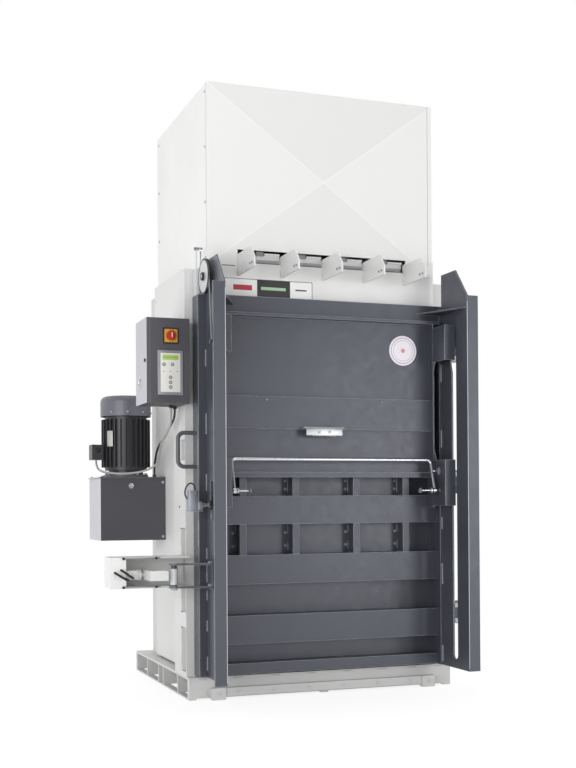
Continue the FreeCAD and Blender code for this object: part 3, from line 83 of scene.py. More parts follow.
def add(tree, kind, links=None, **settings):
    """Add a node: the keywords are its settings, and links joins or sets its inputs."""
    made = tree.nodes.new(kind)
    for key, setting in settings.items():
        setattr(made, key, setting)
    for key, source in (links or {}).items():
        if isinstance(source, bpy.types.NodeSocket):
            tree.links.new(source, made.inputs[key])
        else:
            made.inputs[key].default_value = source
    return made


def fresh(name):
    """A material with no nodes yet, and its tree."""
    made = bpy.data.materials.new(name)
    made.use_nodes = True
    made.node_tree.nodes.clear()
    return made, made.node_tree


FLOOR_SPAN, FLOOR_DROP = 60, 0.001
floor_white, floor_tree = fresh("matt_white_studio_floor")
floor_path = add(floor_tree, "ShaderNodeLightPath")
floor_matt = add(floor_tree, "ShaderNodeBsdfDiffuse", {"Color": linear("#F2F2F2")})
floor_glow = add(floor_tree, "ShaderNodeEmission", {"Color": linear("#FFFFFF"), "Strength": 1.12})
seen_or_mirrored = add(floor_tree, "ShaderNodeMath", {0: floor_path.outputs["Is Camera Ray"],
                                                      1: floor_path.outputs["Is Glossy Ray"]},
                       operation="MAXIMUM")
glow_share = add(floor_tree, "ShaderNodeMath", {0: seen_or_mirrored.outputs[0], 1: 0.75},
                 operation="MULTIPLY")
floor_mix = add(floor_tree, "ShaderNodeMixShader", {0: glow_share.outputs[0],
                                                    1: floor_matt.outputs[0],
                                                    2: floor_glow.outputs[0]})
add(floor_tree, "ShaderNodeOutputMaterial", {"Surface": floor_mix.outputs[0]})
bpy.ops.mesh.primitive_plane_add(size=FLOOR_SPAN)
floor = bpy.context.object
floor.name = "studio_floor"
floor.location.z = -FLOOR_DROP
floor.data.materials.append(floor_white)

world = bpy.data.worlds.new("studio")
bpy.context.scene.world = world
world.use_nodes = True
sky = world.node_tree
sky.nodes.clear()
sky_path = add(sky, "ShaderNodeLightPath")
sky_seen = add(sky, "ShaderNodeMath", {0: sky_path.outputs["Is Camera Ray"],
                                       1: sky_path.outputs["Is Transmission Ray"]},
               operation="MAXIMUM")
sky_way = add(sky, "ShaderNodeSeparateXYZ",
              {0: add(sky, "ShaderNodeTexCoord").outputs["Generated"]})
sky_share = add(sky, "ShaderNodeMapRange", {"Value": sky_way.outputs[1], "From Min": -0.5,
                                            "From Max": 0.5, "To Min": 0.38, "To Max": 1.1})
sky_fill = add(sky, "ShaderNodeBackground", {"Color": linear("#FFFFFF"),
                                             "Strength": sky_share.outputs[0]})
sky_white = add(sky, "ShaderNodeBackground", {"Color": linear("#FFFFFF"), "Strength": 1.0})
sky_mix = add(sky, "ShaderNodeMixShader", {0: sky_seen.outputs[0], 1: sky_fill.outputs[0],
                                           2: sky_white.outputs[0]})
add(sky, "ShaderNodeOutputWorld", {"Surface": sky_mix.outputs[0]})


def softbox(name, place, aim, wide, tall, watts):
    """A large soft lamp that looks at a point."""
    lamp = bpy.data.lights.new(name, "AREA")
    lamp.shape = "RECTANGLE"
    lamp.size, lamp.size_y, lamp.energy = wide, tall, watts
    holder = bpy.data.objects.new(name, lamp)
    holder.location = place
    holder.rotation_euler = (Vector(aim) - Vector(place)).to_track_quat("-Z", "Y").to_euler()
    bpy.context.scene.collection.objects.link(holder)


softbox("left_softbox", (-6.6, -6.8, 1.7), (-0.3, 0, 1.3), 6.0, 4.5, 380)
softbox("front_softbox", (4.4, -9.4, 1.7), (0, 0, 1.3), 2.4, 3.6, 170)
softbox("rim_softbox", (8.5, 0.8, 1.8), (0, -0.8, 1.3), 2.0, 4.0, 160)
softbox("top_softbox", (0.0, -3.0, 7.5), (0, -0.3, 1.4), 4.0, 3.0, 60)


# ---- base: welded plate on three skids, with cross walls between its fork bays ----
# White powder coat on mild steel, baked after welding, drawn greyer here than higher up as painted
# shade.
# The ledge and the blocks in front take the door's weight when it closes, and cap screws hold them on.
def powder_coat(name, colour, edge_wear_and_highlight_colour, rough=0.42, peel_mm=7.0, edge_mm=1.8, edge_wear_and_highlight_share=0.5, coat=0.0,
                lit_left_colour=None, shine=0.5, tint="#FFFFFF"):
    """Powder coat: satin, with an orange peel, and a lighter line on the edges, partly where it thins
    and partly a painted highlight.

    The peel is drawn coarser than the real 2 mm, so that it shows.  A lit left colour is painted light:
    the faces that look left take it, as if lit more strongly from the left.
    """
    cloud_mm, scuff_mm = 625, 38.5
    made, tree = fresh(name)
    place = add(tree, "ShaderNodeTexCoord").outputs["Object"]
    peel = add(tree, "ShaderNodeTexNoise", {"Vector": place, "Scale": 1000 / peel_mm, "Detail": 2})
    clouds = add(tree, "ShaderNodeTexNoise", {"Vector": place, "Scale": 1000 / cloud_mm, "Detail": 4})
    scuffs = add(tree, "ShaderNodeTexNoise", {"Vector": place, "Scale": 1000 / scuff_mm, "Detail": 5})
    flat = add(tree, "ShaderNodeNewGeometry")
    rounded = add(tree, "ShaderNodeBevel", {"Radius": edge_mm / 1000}, samples=4)
    agree = add(tree, "ShaderNodeVectorMath", {0: rounded.outputs[0], 1: flat.outputs["Normal"]},
                operation="DOT_PRODUCT")
    # The edge line is worn coat and painted highlight together; on the dark coats it is mostly painted
    # highlight.
    edge = add(tree, "ShaderNodeMapRange", {"Value": agree.outputs["Value"], "From Min": 0.99,
                                            "From Max": 0.80, "To Min": 0.0, "To Max": edge_wear_and_highlight_share})
    thin = add(tree, "ShaderNodeMath", {0: edge.outputs[0], 1: scuffs.outputs["Fac"]},
               operation="MULTIPLY")
    edge_wear_and_highlight_mix = add(tree, "ShaderNodeMath", {0: thin.outputs[0], 1: 2.0}, operation="MULTIPLY",
                  use_clamp=True)
    shade = add(tree, "ShaderNodeMapRange", {"Value": clouds.outputs["Fac"], "From Min": 0.3,
                                             "From Max": 0.7, "To Min": 0.955, "To Max": 1.03})
    grey = add(tree, "ShaderNodeCombineColor", {i: shade.outputs[0] for i in range(3)})
    base = add(tree, "ShaderNodeMix", {0: 1.0, 6: linear(colour), 7: grey.outputs[0]},
               data_type="RGBA", blend_type="MULTIPLY")
    # Painted light: faces that look left take the paler lit colour.
    if lit_left_colour:
        own = add(tree, "ShaderNodeTexCoord").outputs["Normal"]
        across = add(tree, "ShaderNodeSeparateXYZ", {0: own})
        leftward = add(tree, "ShaderNodeMath", {0: across.outputs[0], 1: -0.9}, operation="LESS_THAN")
        lit_left_paint = add(tree, "ShaderNodeMix", {0: leftward.outputs[0], 6: linear(colour),
                                               7: linear(lit_left_colour)}, data_type="RGBA")
        tree.links.new(lit_left_paint.outputs[2], base.inputs[6])
    paint = add(tree, "ShaderNodeMix", {0: edge_wear_and_highlight_mix.outputs[0], 6: base.outputs[2], 7: linear(edge_wear_and_highlight_colour)},
                data_type="RGBA")
    gloss = add(tree, "ShaderNodeMapRange", {"Value": scuffs.outputs["Fac"], "From Min": 0.3,
                                             "From Max": 0.7, "To Min": rough - 0.05,
                                             "To Max": rough + 0.05})
    relief = add(tree, "ShaderNodeBump", {"Height": peel.outputs["Fac"], "Strength": 0.10,
                                          "Distance": 0.0015, "Normal": rounded.outputs[0]})
    skin = add(tree, "ShaderNodeBsdfPrincipled", {
        "Base Color": paint.outputs[2], "Roughness": gloss.outputs[0], "Normal": relief.outputs[0],
        "Specular IOR Level": shine, "Specular Tint": linear(tint), "Coat Weight": coat,
        "Coat Roughness": 0.32})
    add(tree, "ShaderNodeOutputMaterial", {"Surface": skin.outputs[0]})
    return made


def dress(material, *names):
    """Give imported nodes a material."""
    for name in names:
        nodes[name].data.materials.clear()
        nodes[name].data.materials.append(material)


def piece(name, mesh, material, body, replaced=()):
    """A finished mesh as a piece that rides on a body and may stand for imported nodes."""
    made = bpy.data.objects.new(name, mesh)
    bpy.context.scene.collection.objects.link(made)
    made.data.materials.clear()
    made.data.materials.append(material)
    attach(made, body)
    if replaced:
        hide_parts(*replaced)
    return made


def new_tree(name, inputs, output):
    """A geometry tree with named inputs, its input node and its one output's name."""
    tree = bpy.data.node_groups.new(name, "GeometryNodeTree")
    for label, kind in inputs.items():
        tree.interface.new_socket(label, in_out="INPUT", socket_type="NodeSocket" + kind)
    tree.interface.new_socket(output, in_out="OUTPUT", socket_type="NodeSocketGeometry")
    return tree, add(tree, "NodeGroupInput").outputs


def grown(name, seed, tree, inputs):
    """Run a geometry tree on a seed mesh and return what it makes as a plain mesh."""
    holder = bpy.data.objects.new(name, seed)
    bpy.context.scene.collection.objects.link(holder)
    step = holder.modifiers.new("grow", "NODES")
    step.node_group = tree
    for socket in tree.interface.items_tree:
        if socket.in_out == "INPUT" and socket.name in inputs:
            step[socket.identifier] = inputs[socket.name]
    bpy.context.view_layer.update()
    seen = holder.evaluated_get(bpy.context.evaluated_depsgraph_get())
    plain = bpy.data.meshes.new_from_object(seen)
    plain.name = name
    holder.modifiers.remove(step)
    bpy.data.objects.remove(holder)
    return plain


def head_tree():
    """Sets a chamfered fastener head with a recess on every point, along the point's facing."""
    tree, given = new_tree("fastener_heads", {
        "Spots": "Geometry", "Head sides": "Int", "Head radius": "Float", "Head height": "Float",
        "Recess share": "Float", "Finish": "Material"}, "Heads")
    drum = add(tree, "GeometryNodeMeshCylinder", {
        "Vertices": given["Head sides"], "Radius": given["Head radius"],
        "Depth": given["Head height"]}, fill_type="NGON")
    chamfer = add(tree, "ShaderNodeMath", {0: given["Head height"], 1: 0.2}, operation="MULTIPLY")
    shoulder = add(tree, "GeometryNodeExtrudeMesh", {
        "Mesh": drum.outputs["Mesh"], "Selection": drum.outputs["Top"],
        "Offset Scale": chamfer.outputs[0], "Individual": False})
    crown = add(tree, "GeometryNodeScaleElements", {
        "Geometry": shoulder.outputs["Mesh"], "Selection": shoulder.outputs["Top"], "Scale": 0.84})
    rim = add(tree, "GeometryNodeExtrudeMesh", {
        "Mesh": crown.outputs[0], "Selection": shoulder.outputs["Top"], "Offset Scale": 0.0,
        "Individual": False})
    mouth = add(tree, "GeometryNodeScaleElements", {
        "Geometry": rim.outputs["Mesh"], "Selection": rim.outputs["Top"],
        "Scale": given["Recess share"]})
    sink = add(tree, "ShaderNodeMath", {0: given["Head height"], 1: -0.55}, operation="MULTIPLY")
    recess = add(tree, "GeometryNodeExtrudeMesh", {
        "Mesh": mouth.outputs[0], "Selection": rim.outputs["Top"], "Offset Scale": sink.outputs[0],
        "Individual": False})
    half = add(tree, "ShaderNodeMath", {0: given["Head height"], 1: 0.5}, operation="MULTIPLY")
    lift = add(tree, "ShaderNodeCombineXYZ", {2: half.outputs[0]})
    seated = add(tree, "GeometryNodeTransform", {"Geometry": recess.outputs["Mesh"],
                                                 "Translation": lift.outputs[0]})
    facing = add(tree, "GeometryNodeInputNamedAttribute", {"Name": "facing"},
                 data_type="FLOAT_VECTOR")
    turn = add(tree, "FunctionNodeAlignRotationToVector", {"Vector": facing.outputs["Attribute"]},
               axis="Z")
    copies = add(tree, "GeometryNodeInstanceOnPoints", {
        "Points": given["Spots"], "Instance": seated.outputs[0], "Rotation": turn.outputs[0]})
    real = add(tree, "GeometryNodeRealizeInstances", {"Geometry": copies.outputs[0]})
    coated = add(tree, "GeometryNodeSetMaterial", {"Geometry": real.outputs[0],
                                                   "Material": given["Finish"]})
    add(tree, "NodeGroupOutput", {"Heads": coated.outputs[0]})
    return tree


HEADS = head_tree()


def heads(name, spots, radius, height, material, body, sides=6, recess=0.6):
    """Fastener heads: each spot is a point on the seat and the way that the head faces."""
    seed = bpy.data.meshes.new(name + "_spots")
    seed.from_pydata([tuple(point) for point, _ in spots], [], [])
    facing = seed.attributes.new("facing", "FLOAT_VECTOR", "POINT")
    for index, (_, way) in enumerate(spots):
        facing.data[index].vector = way
    mesh = grown(name, seed, HEADS, {"Head sides": sides, "Head radius": radius,
                                     "Head height": height, "Recess share": recess,
                                     "Finish": material})
    return piece(name, mesh, material, body)


def bead_tree():
    """Draws a rippled weld bead along every run of edges; it swells about every 5 mm."""
    tree, given = new_tree("weld_beads", {
        "Runs": "Geometry", "Bead radius": "Float", "Ripple length": "Float", "Finish": "Material"},
        "Beads")
    line = add(tree, "GeometryNodeMeshToCurve", {"Mesh": given["Runs"]})
    even = add(tree, "GeometryNodeResampleCurve", {"Curve": line.outputs[0],
                                                   "Length": given["Ripple length"]}, mode="LENGTH")
    wobble = add(tree, "ShaderNodeTexNoise", {"Scale": 190.0, "Detail": 0.0})
    swell = add(tree, "ShaderNodeMapRange", {"Value": wobble.outputs["Fac"], "To Min": 0.7,
                                             "To Max": 1.3})
    ring = add(tree, "GeometryNodeCurvePrimitiveCircle", {"Resolution": 8,
                                                          "Radius": given["Bead radius"]})
    bead = add(tree, "GeometryNodeCurveToMesh", {
        "Curve": even.outputs[0], "Profile Curve": ring.outputs[0], "Scale": swell.outputs[0],
        "Fill Caps": True})
    real = add(tree, "GeometryNodeRealizeInstances", {"Geometry": bead.outputs[0]})
    coated = add(tree, "GeometryNodeSetMaterial", {"Geometry": real.outputs[0],
                                                   "Material": given["Finish"]})
    add(tree, "NodeGroupOutput", {"Beads": coated.outputs[0]})
    return tree


BEADS = bead_tree()
RIPPLE = 0.005


def welds(name, runs, radius, material, body):
    """Weld beads on a body, each along its own run of points."""
    points = [tuple(point) for run in runs for point in run]
    edges = []
    first = 0
    for run in runs:
        edges += [(first + step, first + step + 1) for step in range(len(run) - 1)]
        first += len(run)
    seed = bpy.data.meshes.new(name + "_runs")
    seed.from_pydata(points, edges, [])
    mesh = grown(name, seed, BEADS, {"Bead radius": radius, "Ripple length": RIPPLE,
                                     "Finish": material})
    return piece(name, mesh, material, body)


base_low, base_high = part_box("base_frame")
FRONT = -base_high.y
LEFTWARD, RIGHTWARD, FORWARD, UPWARD = (-1, 0, 0), (1, 0, 0), (0, -1, 0), (0, 0, 1)
weld_white = powder_coat("satin_grey_white_coat_over_weld", "#BEBEBD", "#DDDDDB", 0.36, peel_mm=4,
                         edge_wear_and_highlight_share=0.2)
# The base's left faces are painted a little paler, as painted light from the left.
base_white = powder_coat("satin_white_coat_on_base_painted_lit_on_left", "#CACAC9", "#F0F0EF", 0.46, edge_wear_and_highlight_share=0.5,
                         lit_left_colour="#D4D4D3")
dress(base_white, "base_frame")
LEDGE_REACH, LEDGE_SCREW_Z = 0.026, 0.038
BLOCK_X, BLOCK_SCREW_Z = 0.6095, 0.034
FLOOR_BEAD_Y, FLOOR_BEAD_Z, FLOOR_BEAD_LONG = FRONT - 0.001, 0.1075, 0.05
heads("ledge_screws", [((x, FRONT - LEDGE_REACH, LEDGE_SCREW_Z), FORWARD)
                       for x in (-0.50, -0.30, -0.10, 0.10, 0.30, 0.50)],
      0.008, 0.005, base_white, "machine", sides=12, recess=0.5)
heads("block_screws", [((side * BLOCK_X, base_low.y, BLOCK_SCREW_Z), FORWARD) for side in (-1, 1)],
      0.010, 0.005, base_white, "machine")
base_runs = [[(x, FLOOR_BEAD_Y, FLOOR_BEAD_Z), (x + FLOOR_BEAD_LONG, FLOOR_BEAD_Y, FLOOR_BEAD_Z)]
             for x in (-0.71, -0.52, -0.31, -0.10, 0.11, 0.32, 0.50, 0.66)]
welds("base_welds", base_runs, 0.0024, weld_white, "machine")

# ---- chamber walls, deck and columns: cut plate, stitch-welded and coated with the base ----
# The columns are boxes whose outer faces leave pockets open.  Plugged holes show as small dark dots.
# The white parts carry one white coat, drawn a step greyer or paler per part as painted shade and
# light.
body_white = powder_coat("satin_grey_white_coat_on_plate", "#D2D2D1", "#E4E4E3", 0.46, edge_wear_and_highlight_share=0.4)
dress(body_white, "wall_panels", "top_deck")
column_white = powder_coat("satin_white_coat_on_folded_column", "#DCDCDB", "#F3F3F2", 0.46,
                           edge_wear_and_highlight_share=0.3)
dress(column_white, "column_left", "column_right")


def rubber(name, colour, rough=0.62, grain_mm=1.2):
    """Moulded rubber or soft plastic: matt, with an even grain, drawn coarse enough to show."""
    bloom_mm = 45.5
    made, tree = fresh(name)
    place = add(tree, "ShaderNodeTexCoord").outputs["Object"]
    grain = add(tree, "ShaderNodeTexNoise", {"Vector": place, "Scale": 1000 / grain_mm, "Detail": 2})
    bloom = add(tree, "ShaderNodeTexNoise", {"Vector": place, "Scale": 1000 / bloom_mm, "Detail": 4})
    gloss = add(tree, "ShaderNodeMapRange", {"Value": bloom.outputs["Fac"], "To Min": rough - 0.12,
                                             "To Max": rough + 0.12})
    relief = add(tree, "ShaderNodeBump", {"Height": grain.outputs["Fac"], "Strength": 0.15,
                                          "Distance": 0.0004})
    skin = add(tree, "ShaderNodeBsdfPrincipled", {
        "Base Color": linear(colour), "Roughness": gloss.outputs[0], "Normal": relief.outputs[0]})
    add(tree, "ShaderNodeOutputMaterial", {"Surface": skin.outputs[0]})
    return made


def block(low, high, edge=0.001, steps=2):
    """A box mesh with rounded edges."""
    work = bmesh.new()
    bmesh.ops.create_cube(work, size=1)
    size = Vector(high) - Vector(low)
    middle = (Vector(high) + Vector(low)) / 2
    for corner in work.verts:
        corner.co = Vector([corner.co[i] * size[i] + middle[i] for i in range(3)])
    bmesh.ops.bevel(work, geom=work.edges[:], offset=edge, segments=steps, affect="EDGES",
                    profile=0.5)
    return meshed(work)


def meshed(work, smooth=35):
    """A bmesh as a mesh, with faces outwards and smooth shading across edges under an angle."""
    bmesh.ops.remove_doubles(work, verts=work.verts[:], dist=1e-6)
    bmesh.ops.recalc_face_normals(work, faces=work.faces[:])
    mesh = bpy.data.meshes.new("part")
    work.to_mesh(mesh)
    work.free()
    mesh.polygons.foreach_set("use_smooth", [True] * len(mesh.polygons))
    mesh.set_sharp_from_angle(angle=math.radians(smooth))
    return mesh


def joined(*meshes):
    """Several meshes as one, each kept a closed shell of its own."""
    work = bmesh.new()
    for mesh in meshes:
        work.from_mesh(mesh)
    whole = bpy.data.meshes.new("parts")
    work.to_mesh(whole)
    work.free()
    whole.set_sharp_from_angle(angle=math.radians(35))
    return whole


rubber_black_and_shade = rubber("moulded_black_rubber_and_painted_shade", "#1C1C1E")
COLUMN_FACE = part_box("column_left")[0].y
COLUMN_OUT = 0.762
PLUG_Y, PLUG_LEVELS = FRONT + 0.170, (1.013, 1.297)
plug_spots = [((side * COLUMN_OUT, PLUG_Y, z), (side, 0, 0))
              for side in (-1, 1) for z in PLUG_LEVELS]
heads("column_plugs", plug_spots, 0.006, 0.002, rubber_black_and_shade, "machine", sides=16,
      recess=0.5)
LINER_Y, LINER_THICK, LINER_FIT = FRONT + 0.1522, 0.004, 0.0005
LINER_IN, LINER_OUT = 0.6722, 0.7598
POCKETS = ((0.140, 0.375), (0.455, 0.900), (1.260, 1.370))
SEAM_Y = COLUMN_FACE + 0.102
liners, corner_cuts = [], []
for side in (-1, 1):
    left, right = sorted((side * LINER_IN, side * LINER_OUT))
    for low, high in POCKETS:
        liners.append(block((left, LINER_Y - LINER_THICK, low + LINER_FIT),
                            (right, LINER_Y, high - LINER_FIT), 0.0005, 1))
    left, right = sorted((side * (COLUMN_OUT + 0.0002), side * (COLUMN_OUT - 0.0004)))
    for z in (0.375, 0.455, 0.900):
        corner_cuts.append(block((left, SEAM_Y - 0.032, z - 0.004), (right, SEAM_Y, z), 0.0002, 1))
piece("pocket_liners", joined(*liners), column_white, "machine")
# Dark blocks at the pockets' corners are painted shade in the notches there.
piece("pocket_corner_cuts", joined(*corner_cuts), rubber_black_and_shade, "machine")
BEAD_X = COLUMN_OUT - 0.0015
column_runs = [[(side * BEAD_X, SEAM_Y, z), (side * BEAD_X, SEAM_Y, z + 0.06)]
               for side in (-1, 1) for z in (0.17, 0.29, 0.52, 0.66, 0.80)]
welds("column_welds", column_runs, 0.0016, weld_white, "machine")

# ---- side cover: folded sheet over the strapping shaft, in two panels with a seam ----
# White satin coat, a little smoother than the plate, because the sheet is rolled.
sheet_white = powder_coat("satin_white_powder_coat_on_sheet", "#E0E0DF", "#F3F3F2", 0.5, edge_wear_and_highlight_share=0.3)
dress(sheet_white, "side_cover")
cover_low, cover_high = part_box("side_cover")
SCREW_INSET = 0.03
cover_spots = [((cover_low.x, y, z), LEFTWARD)
               for y in (cover_low.y + SCREW_INSET, cover_high.y - SCREW_INSET)
               for z in (0.20, 0.95, 1.60, 2.24)]
heads("cover_screws", cover_spots, 0.006, 0.003, sheet_white, "machine", sides=16)

# ---- head box: folded front plate with a recessed sill, five strapping fins and a lamp strip ----
# White coat.  The fins are cut plate, welded to the box, and each has two cap screws at its nose.
head_white = powder_coat("satin_white_powder_coat_on_head", "#E3E3E2", "#F3F3F2", 0.44, edge_wear_and_highlight_share=0.4)
dress(head_white, "head_box", "head_fins")
head_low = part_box("head_box")[0]
fin_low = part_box("head_fins")[0]
FIRST_FIN, FIN_STEP, FIN_HALF, FIN_BEAD_LONG = -0.485, 0.24075, 0.004, 0.035
FIN_X = [FIRST_FIN + step * FIN_STEP for step in range(5)]
fin_runs = []
for middle in FIN_X:
    for z in (fin_low.z + 0.005, fin_low.z + 0.075):
        for x in (middle - FIN_HALF, middle + FIN_HALF):
            fin_runs.append([(x, head_low.y, z), (x, head_low.y, z + FIN_BEAD_LONG)])
welds("fin_welds", fin_runs, 0.0022, weld_white, "machine")


def lamp_plastic():
    """Extruded smoky acrylic, clear enough to look grey, with a rib every 12 mm."""
    made, tree = fresh("extruded_smoky_acrylic")
    place = add(tree, "ShaderNodeTexCoord").outputs["Object"]
    across = add(tree, "ShaderNodeSeparateXYZ", {0: place})
    turns = add(tree, "ShaderNodeMath", {0: across.outputs[0], 1: 2 * math.pi / 0.012},
                operation="MULTIPLY")
    wave = add(tree, "ShaderNodeMath", {0: turns.outputs[0]}, operation="SINE")
    ridge = add(tree, "ShaderNodeBump", {"Height": wave.outputs[0], "Strength": 0.4,
                                         "Distance": 0.001})
    skin = add(tree, "ShaderNodeBsdfPrincipled", {"Base Color": linear("#B9BCC0"),
                                                  "Roughness": 0.25, "IOR": 1.49,
                                                  "Normal": ridge.outputs[0]})
    add(tree, "ShaderNodeOutputMaterial", {"Surface": skin.outputs[0]})
    return made


dress(lamp_plastic(), "head_lamp")
sign_low, sign_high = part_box("name_plate")
BAY_BACK = head_low.y + 0.022


def in_windows(left, right, low, high, near, far=0.0):
    """A bar in each window, from the fin on its left; near and far are counted from the back."""
    return [block((x + left, BAY_BACK - near, low), (x + right, BAY_BACK - far, high))
            for x in FIN_X[:-1]]


shelves = in_windows(0.150, 0.236, 2.356, 2.366, 0.012)
shelves += in_windows(0.108, 0.236, 2.330, 2.3565, 0.004)
drivers = in_windows(0.104, 0.146, 2.350, 2.374, 0.010)
lips = in_windows(0.010, 0.232, 2.3065, 2.314, 0.014, 0.006)
piece("window_shelves", joined(*shelves), head_white, "machine")
piece("lamp_drivers", joined(*drivers), rubber("grey_moulded_lamp_driver", "#8C8D90", 0.5), "machine")
piece("window_lips", joined(*lips), rubber("dark_edge_profile", "#77777A", 0.5), "machine")


def dark_strip(left, right, low, high, face):
    """A strip 0.6 mm proud of a face to the front, painted dark as the shade in a gap too narrow to
    cut.
    """
    return block((left, face - 0.0006, low), (right, face + 0.0002, high), 0.0002, 1)


# The notch beside the first fin is drawn as dark strips: painted shade in the gap.
GAP_X = FIN_X[0] - 0.0185
notch = joined(dark_strip(GAP_X - 0.008, GAP_X, 2.290, 2.372, head_low.y),
               dark_strip(GAP_X - 0.072, GAP_X, 2.2865, 2.2905, head_low.y))
piece("head_notch", notch, rubber("painted_shade_in_open_gap", "#2C2A28", 0.8), "machine")


def sign_film():
    """Printed vinyl film on a white plate: plain fields of colour, under a thin dark border."""
    dust_mm = 18
    made, tree = fresh("printed_vinyl_film_on_plate")
    own = add(tree, "ShaderNodeTexCoord").outputs["Object"]
    place = add(tree, "ShaderNodeSeparateXYZ", {0: own})
    fields = [("#232325", sign_low.x + 0.178, sign_high.x - 0.125, sign_low.z, sign_high.z),
              ("#A6C9A2", sign_low.x + 0.20, sign_high.x - 0.150, sign_low.z + 0.036,
               sign_low.z + 0.052),
              ("#B32C3C", sign_low.x + 0.045, sign_low.x + 0.150, sign_low.z + 0.030,
               sign_low.z + 0.058),
              ("#3A3A3D", sign_high.x - 0.095, sign_high.x - 0.030, sign_low.z + 0.040,
               sign_low.z + 0.048)]
    colour = linear("#EDEDEB")
    for paint, x0, x1, z0, z1 in fields:
        inside = add(tree, "ShaderNodeMath", {0: place.outputs[0], 1: x0},
                     operation="GREATER_THAN").outputs[0]
        for axis, limit, test in ((0, x1, "LESS_THAN"), (2, z0, "GREATER_THAN"),
                                  (2, z1, "LESS_THAN")):
            side = add(tree, "ShaderNodeMath", {0: place.outputs[axis], 1: limit}, operation=test)
            inside = add(tree, "ShaderNodeMath", {0: inside, 1: side.outputs[0]},
                         operation="MULTIPLY").outputs[0]
        colour = add(tree, "ShaderNodeMix", {0: inside, 6: colour, 7: linear(paint)},
                     data_type="RGBA").outputs[2]
    dust = add(tree, "ShaderNodeTexNoise", {"Vector": own, "Scale": 1000 / dust_mm, "Detail": 3})
    gloss = add(tree, "ShaderNodeMapRange", {"Value": dust.outputs["Fac"], "To Min": 0.22,
                                             "To Max": 0.40})
    skin = add(tree, "ShaderNodeBsdfPrincipled", {"Base Color": colour,
                                                  "Roughness": gloss.outputs[0], "IOR": 1.52})
    add(tree, "ShaderNodeOutputMaterial", {"Surface": skin.outputs[0]})
    return made


dress(sign_film(), "name_plate")
sign_edge = rubber("black_printed_border", "#2A2A2D", 0.4)
BORDER = 0.003
LEFT_EDGE, RIGHT_EDGE = sign_low.x - BORDER, sign_high.x + BORDER
strips = [block((x0, sign_low.y, z0), (x1, sign_high.y, z1), 0.0004) for x0, x1, z0, z1 in (
    (LEFT_EDGE, RIGHT_EDGE, sign_high.z, sign_high.z + BORDER),
    (sign_high.x, RIGHT_EDGE, sign_low.z, sign_high.z),
    (LEFT_EDGE, sign_low.x, sign_low.z, sign_high.z))]
piece("sign_border", joined(*strips), sign_edge, "machine")

# ---- hood: thin panels on the deck, the front one cross-broken to a low pyramid ----
# Smooth white coat, drawn the palest on the machine as painted light high up.  The sides are screwed
# on, and the front laps them.
HOOD_PEEL_MM = 9
hood_white = powder_coat("gloss_white_powder_coat_on_hood", "#E9E9E8", "#F6F6F5", 0.38,
                         peel_mm=HOOD_PEEL_MM, edge_wear_and_highlight_share=0.25)
dress(hood_white, "hood_panels")
front_low, front_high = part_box("hood_front")


def cross_broken_white():
    """The hood's coat on the cross-broken panel, with painted light: the side faces a shade paler than
    the top and bottom ones, and a painted highlight on the creases.
    """
    made, tree = fresh("gloss_white_powder_coat_cross_broken")
    own = add(tree, "ShaderNodeTexCoord").outputs["Object"]
    ways = add(tree, "ShaderNodeSeparateXYZ", {0: own})
    across = add(tree, "ShaderNodeMapRange", {"Value": ways.outputs[0], "From Min": front_low.x,
                                              "From Max": front_high.x, "To Min": -1.0, "To Max": 1.0})
    along = add(tree, "ShaderNodeMapRange", {"Value": ways.outputs[2], "From Min": front_low.z,
                                             "From Max": front_high.z, "To Min": -1.0, "To Max": 1.0})
    aside = add(tree, "ShaderNodeMath", {0: across.outputs[0]}, operation="ABSOLUTE")
    above = add(tree, "ShaderNodeMath", {0: along.outputs[0]}, operation="ABSOLUTE")
    over = add(tree, "ShaderNodeMath", {0: aside.outputs[0], 1: above.outputs[0]},
               operation="SUBTRACT")
    # Painted shade and highlight: side faces paler, top and bottom faces darker, creases palest.
    side = add(tree, "ShaderNodeMapRange", {"Value": over.outputs[0], "From Min": -0.004,
                                            "From Max": 0.004, "To Min": 0.0, "To Max": 1.0})
    crease = add(tree, "ShaderNodeMath", {0: over.outputs[0], 1: 0.0, 2: 0.006}, operation="COMPARE")
    tone = add(tree, "ShaderNodeMix", {0: side.outputs[0], 6: linear("#E1E1E0"),
                                       7: linear("#E6E6E5")}, data_type="RGBA")
    paint = add(tree, "ShaderNodeMix", {0: crease.outputs[0], 6: tone.outputs[2],
                                        7: linear("#EDEDEC")}, data_type="RGBA")
    peel = add(tree, "ShaderNodeTexNoise", {"Vector": own, "Scale": 1000 / HOOD_PEEL_MM,
                                            "Detail": 2})
    relief = add(tree, "ShaderNodeBump", {"Height": peel.outputs["Fac"], "Strength": 0.10,
                                          "Distance": 0.0015})
    skin = add(tree, "ShaderNodeBsdfPrincipled", {"Base Color": paint.outputs[2], "Roughness": 0.38,
                                                  "Normal": relief.outputs[0]})
    add(tree, "ShaderNodeOutputMaterial", {"Surface": skin.outputs[0]})
    return made


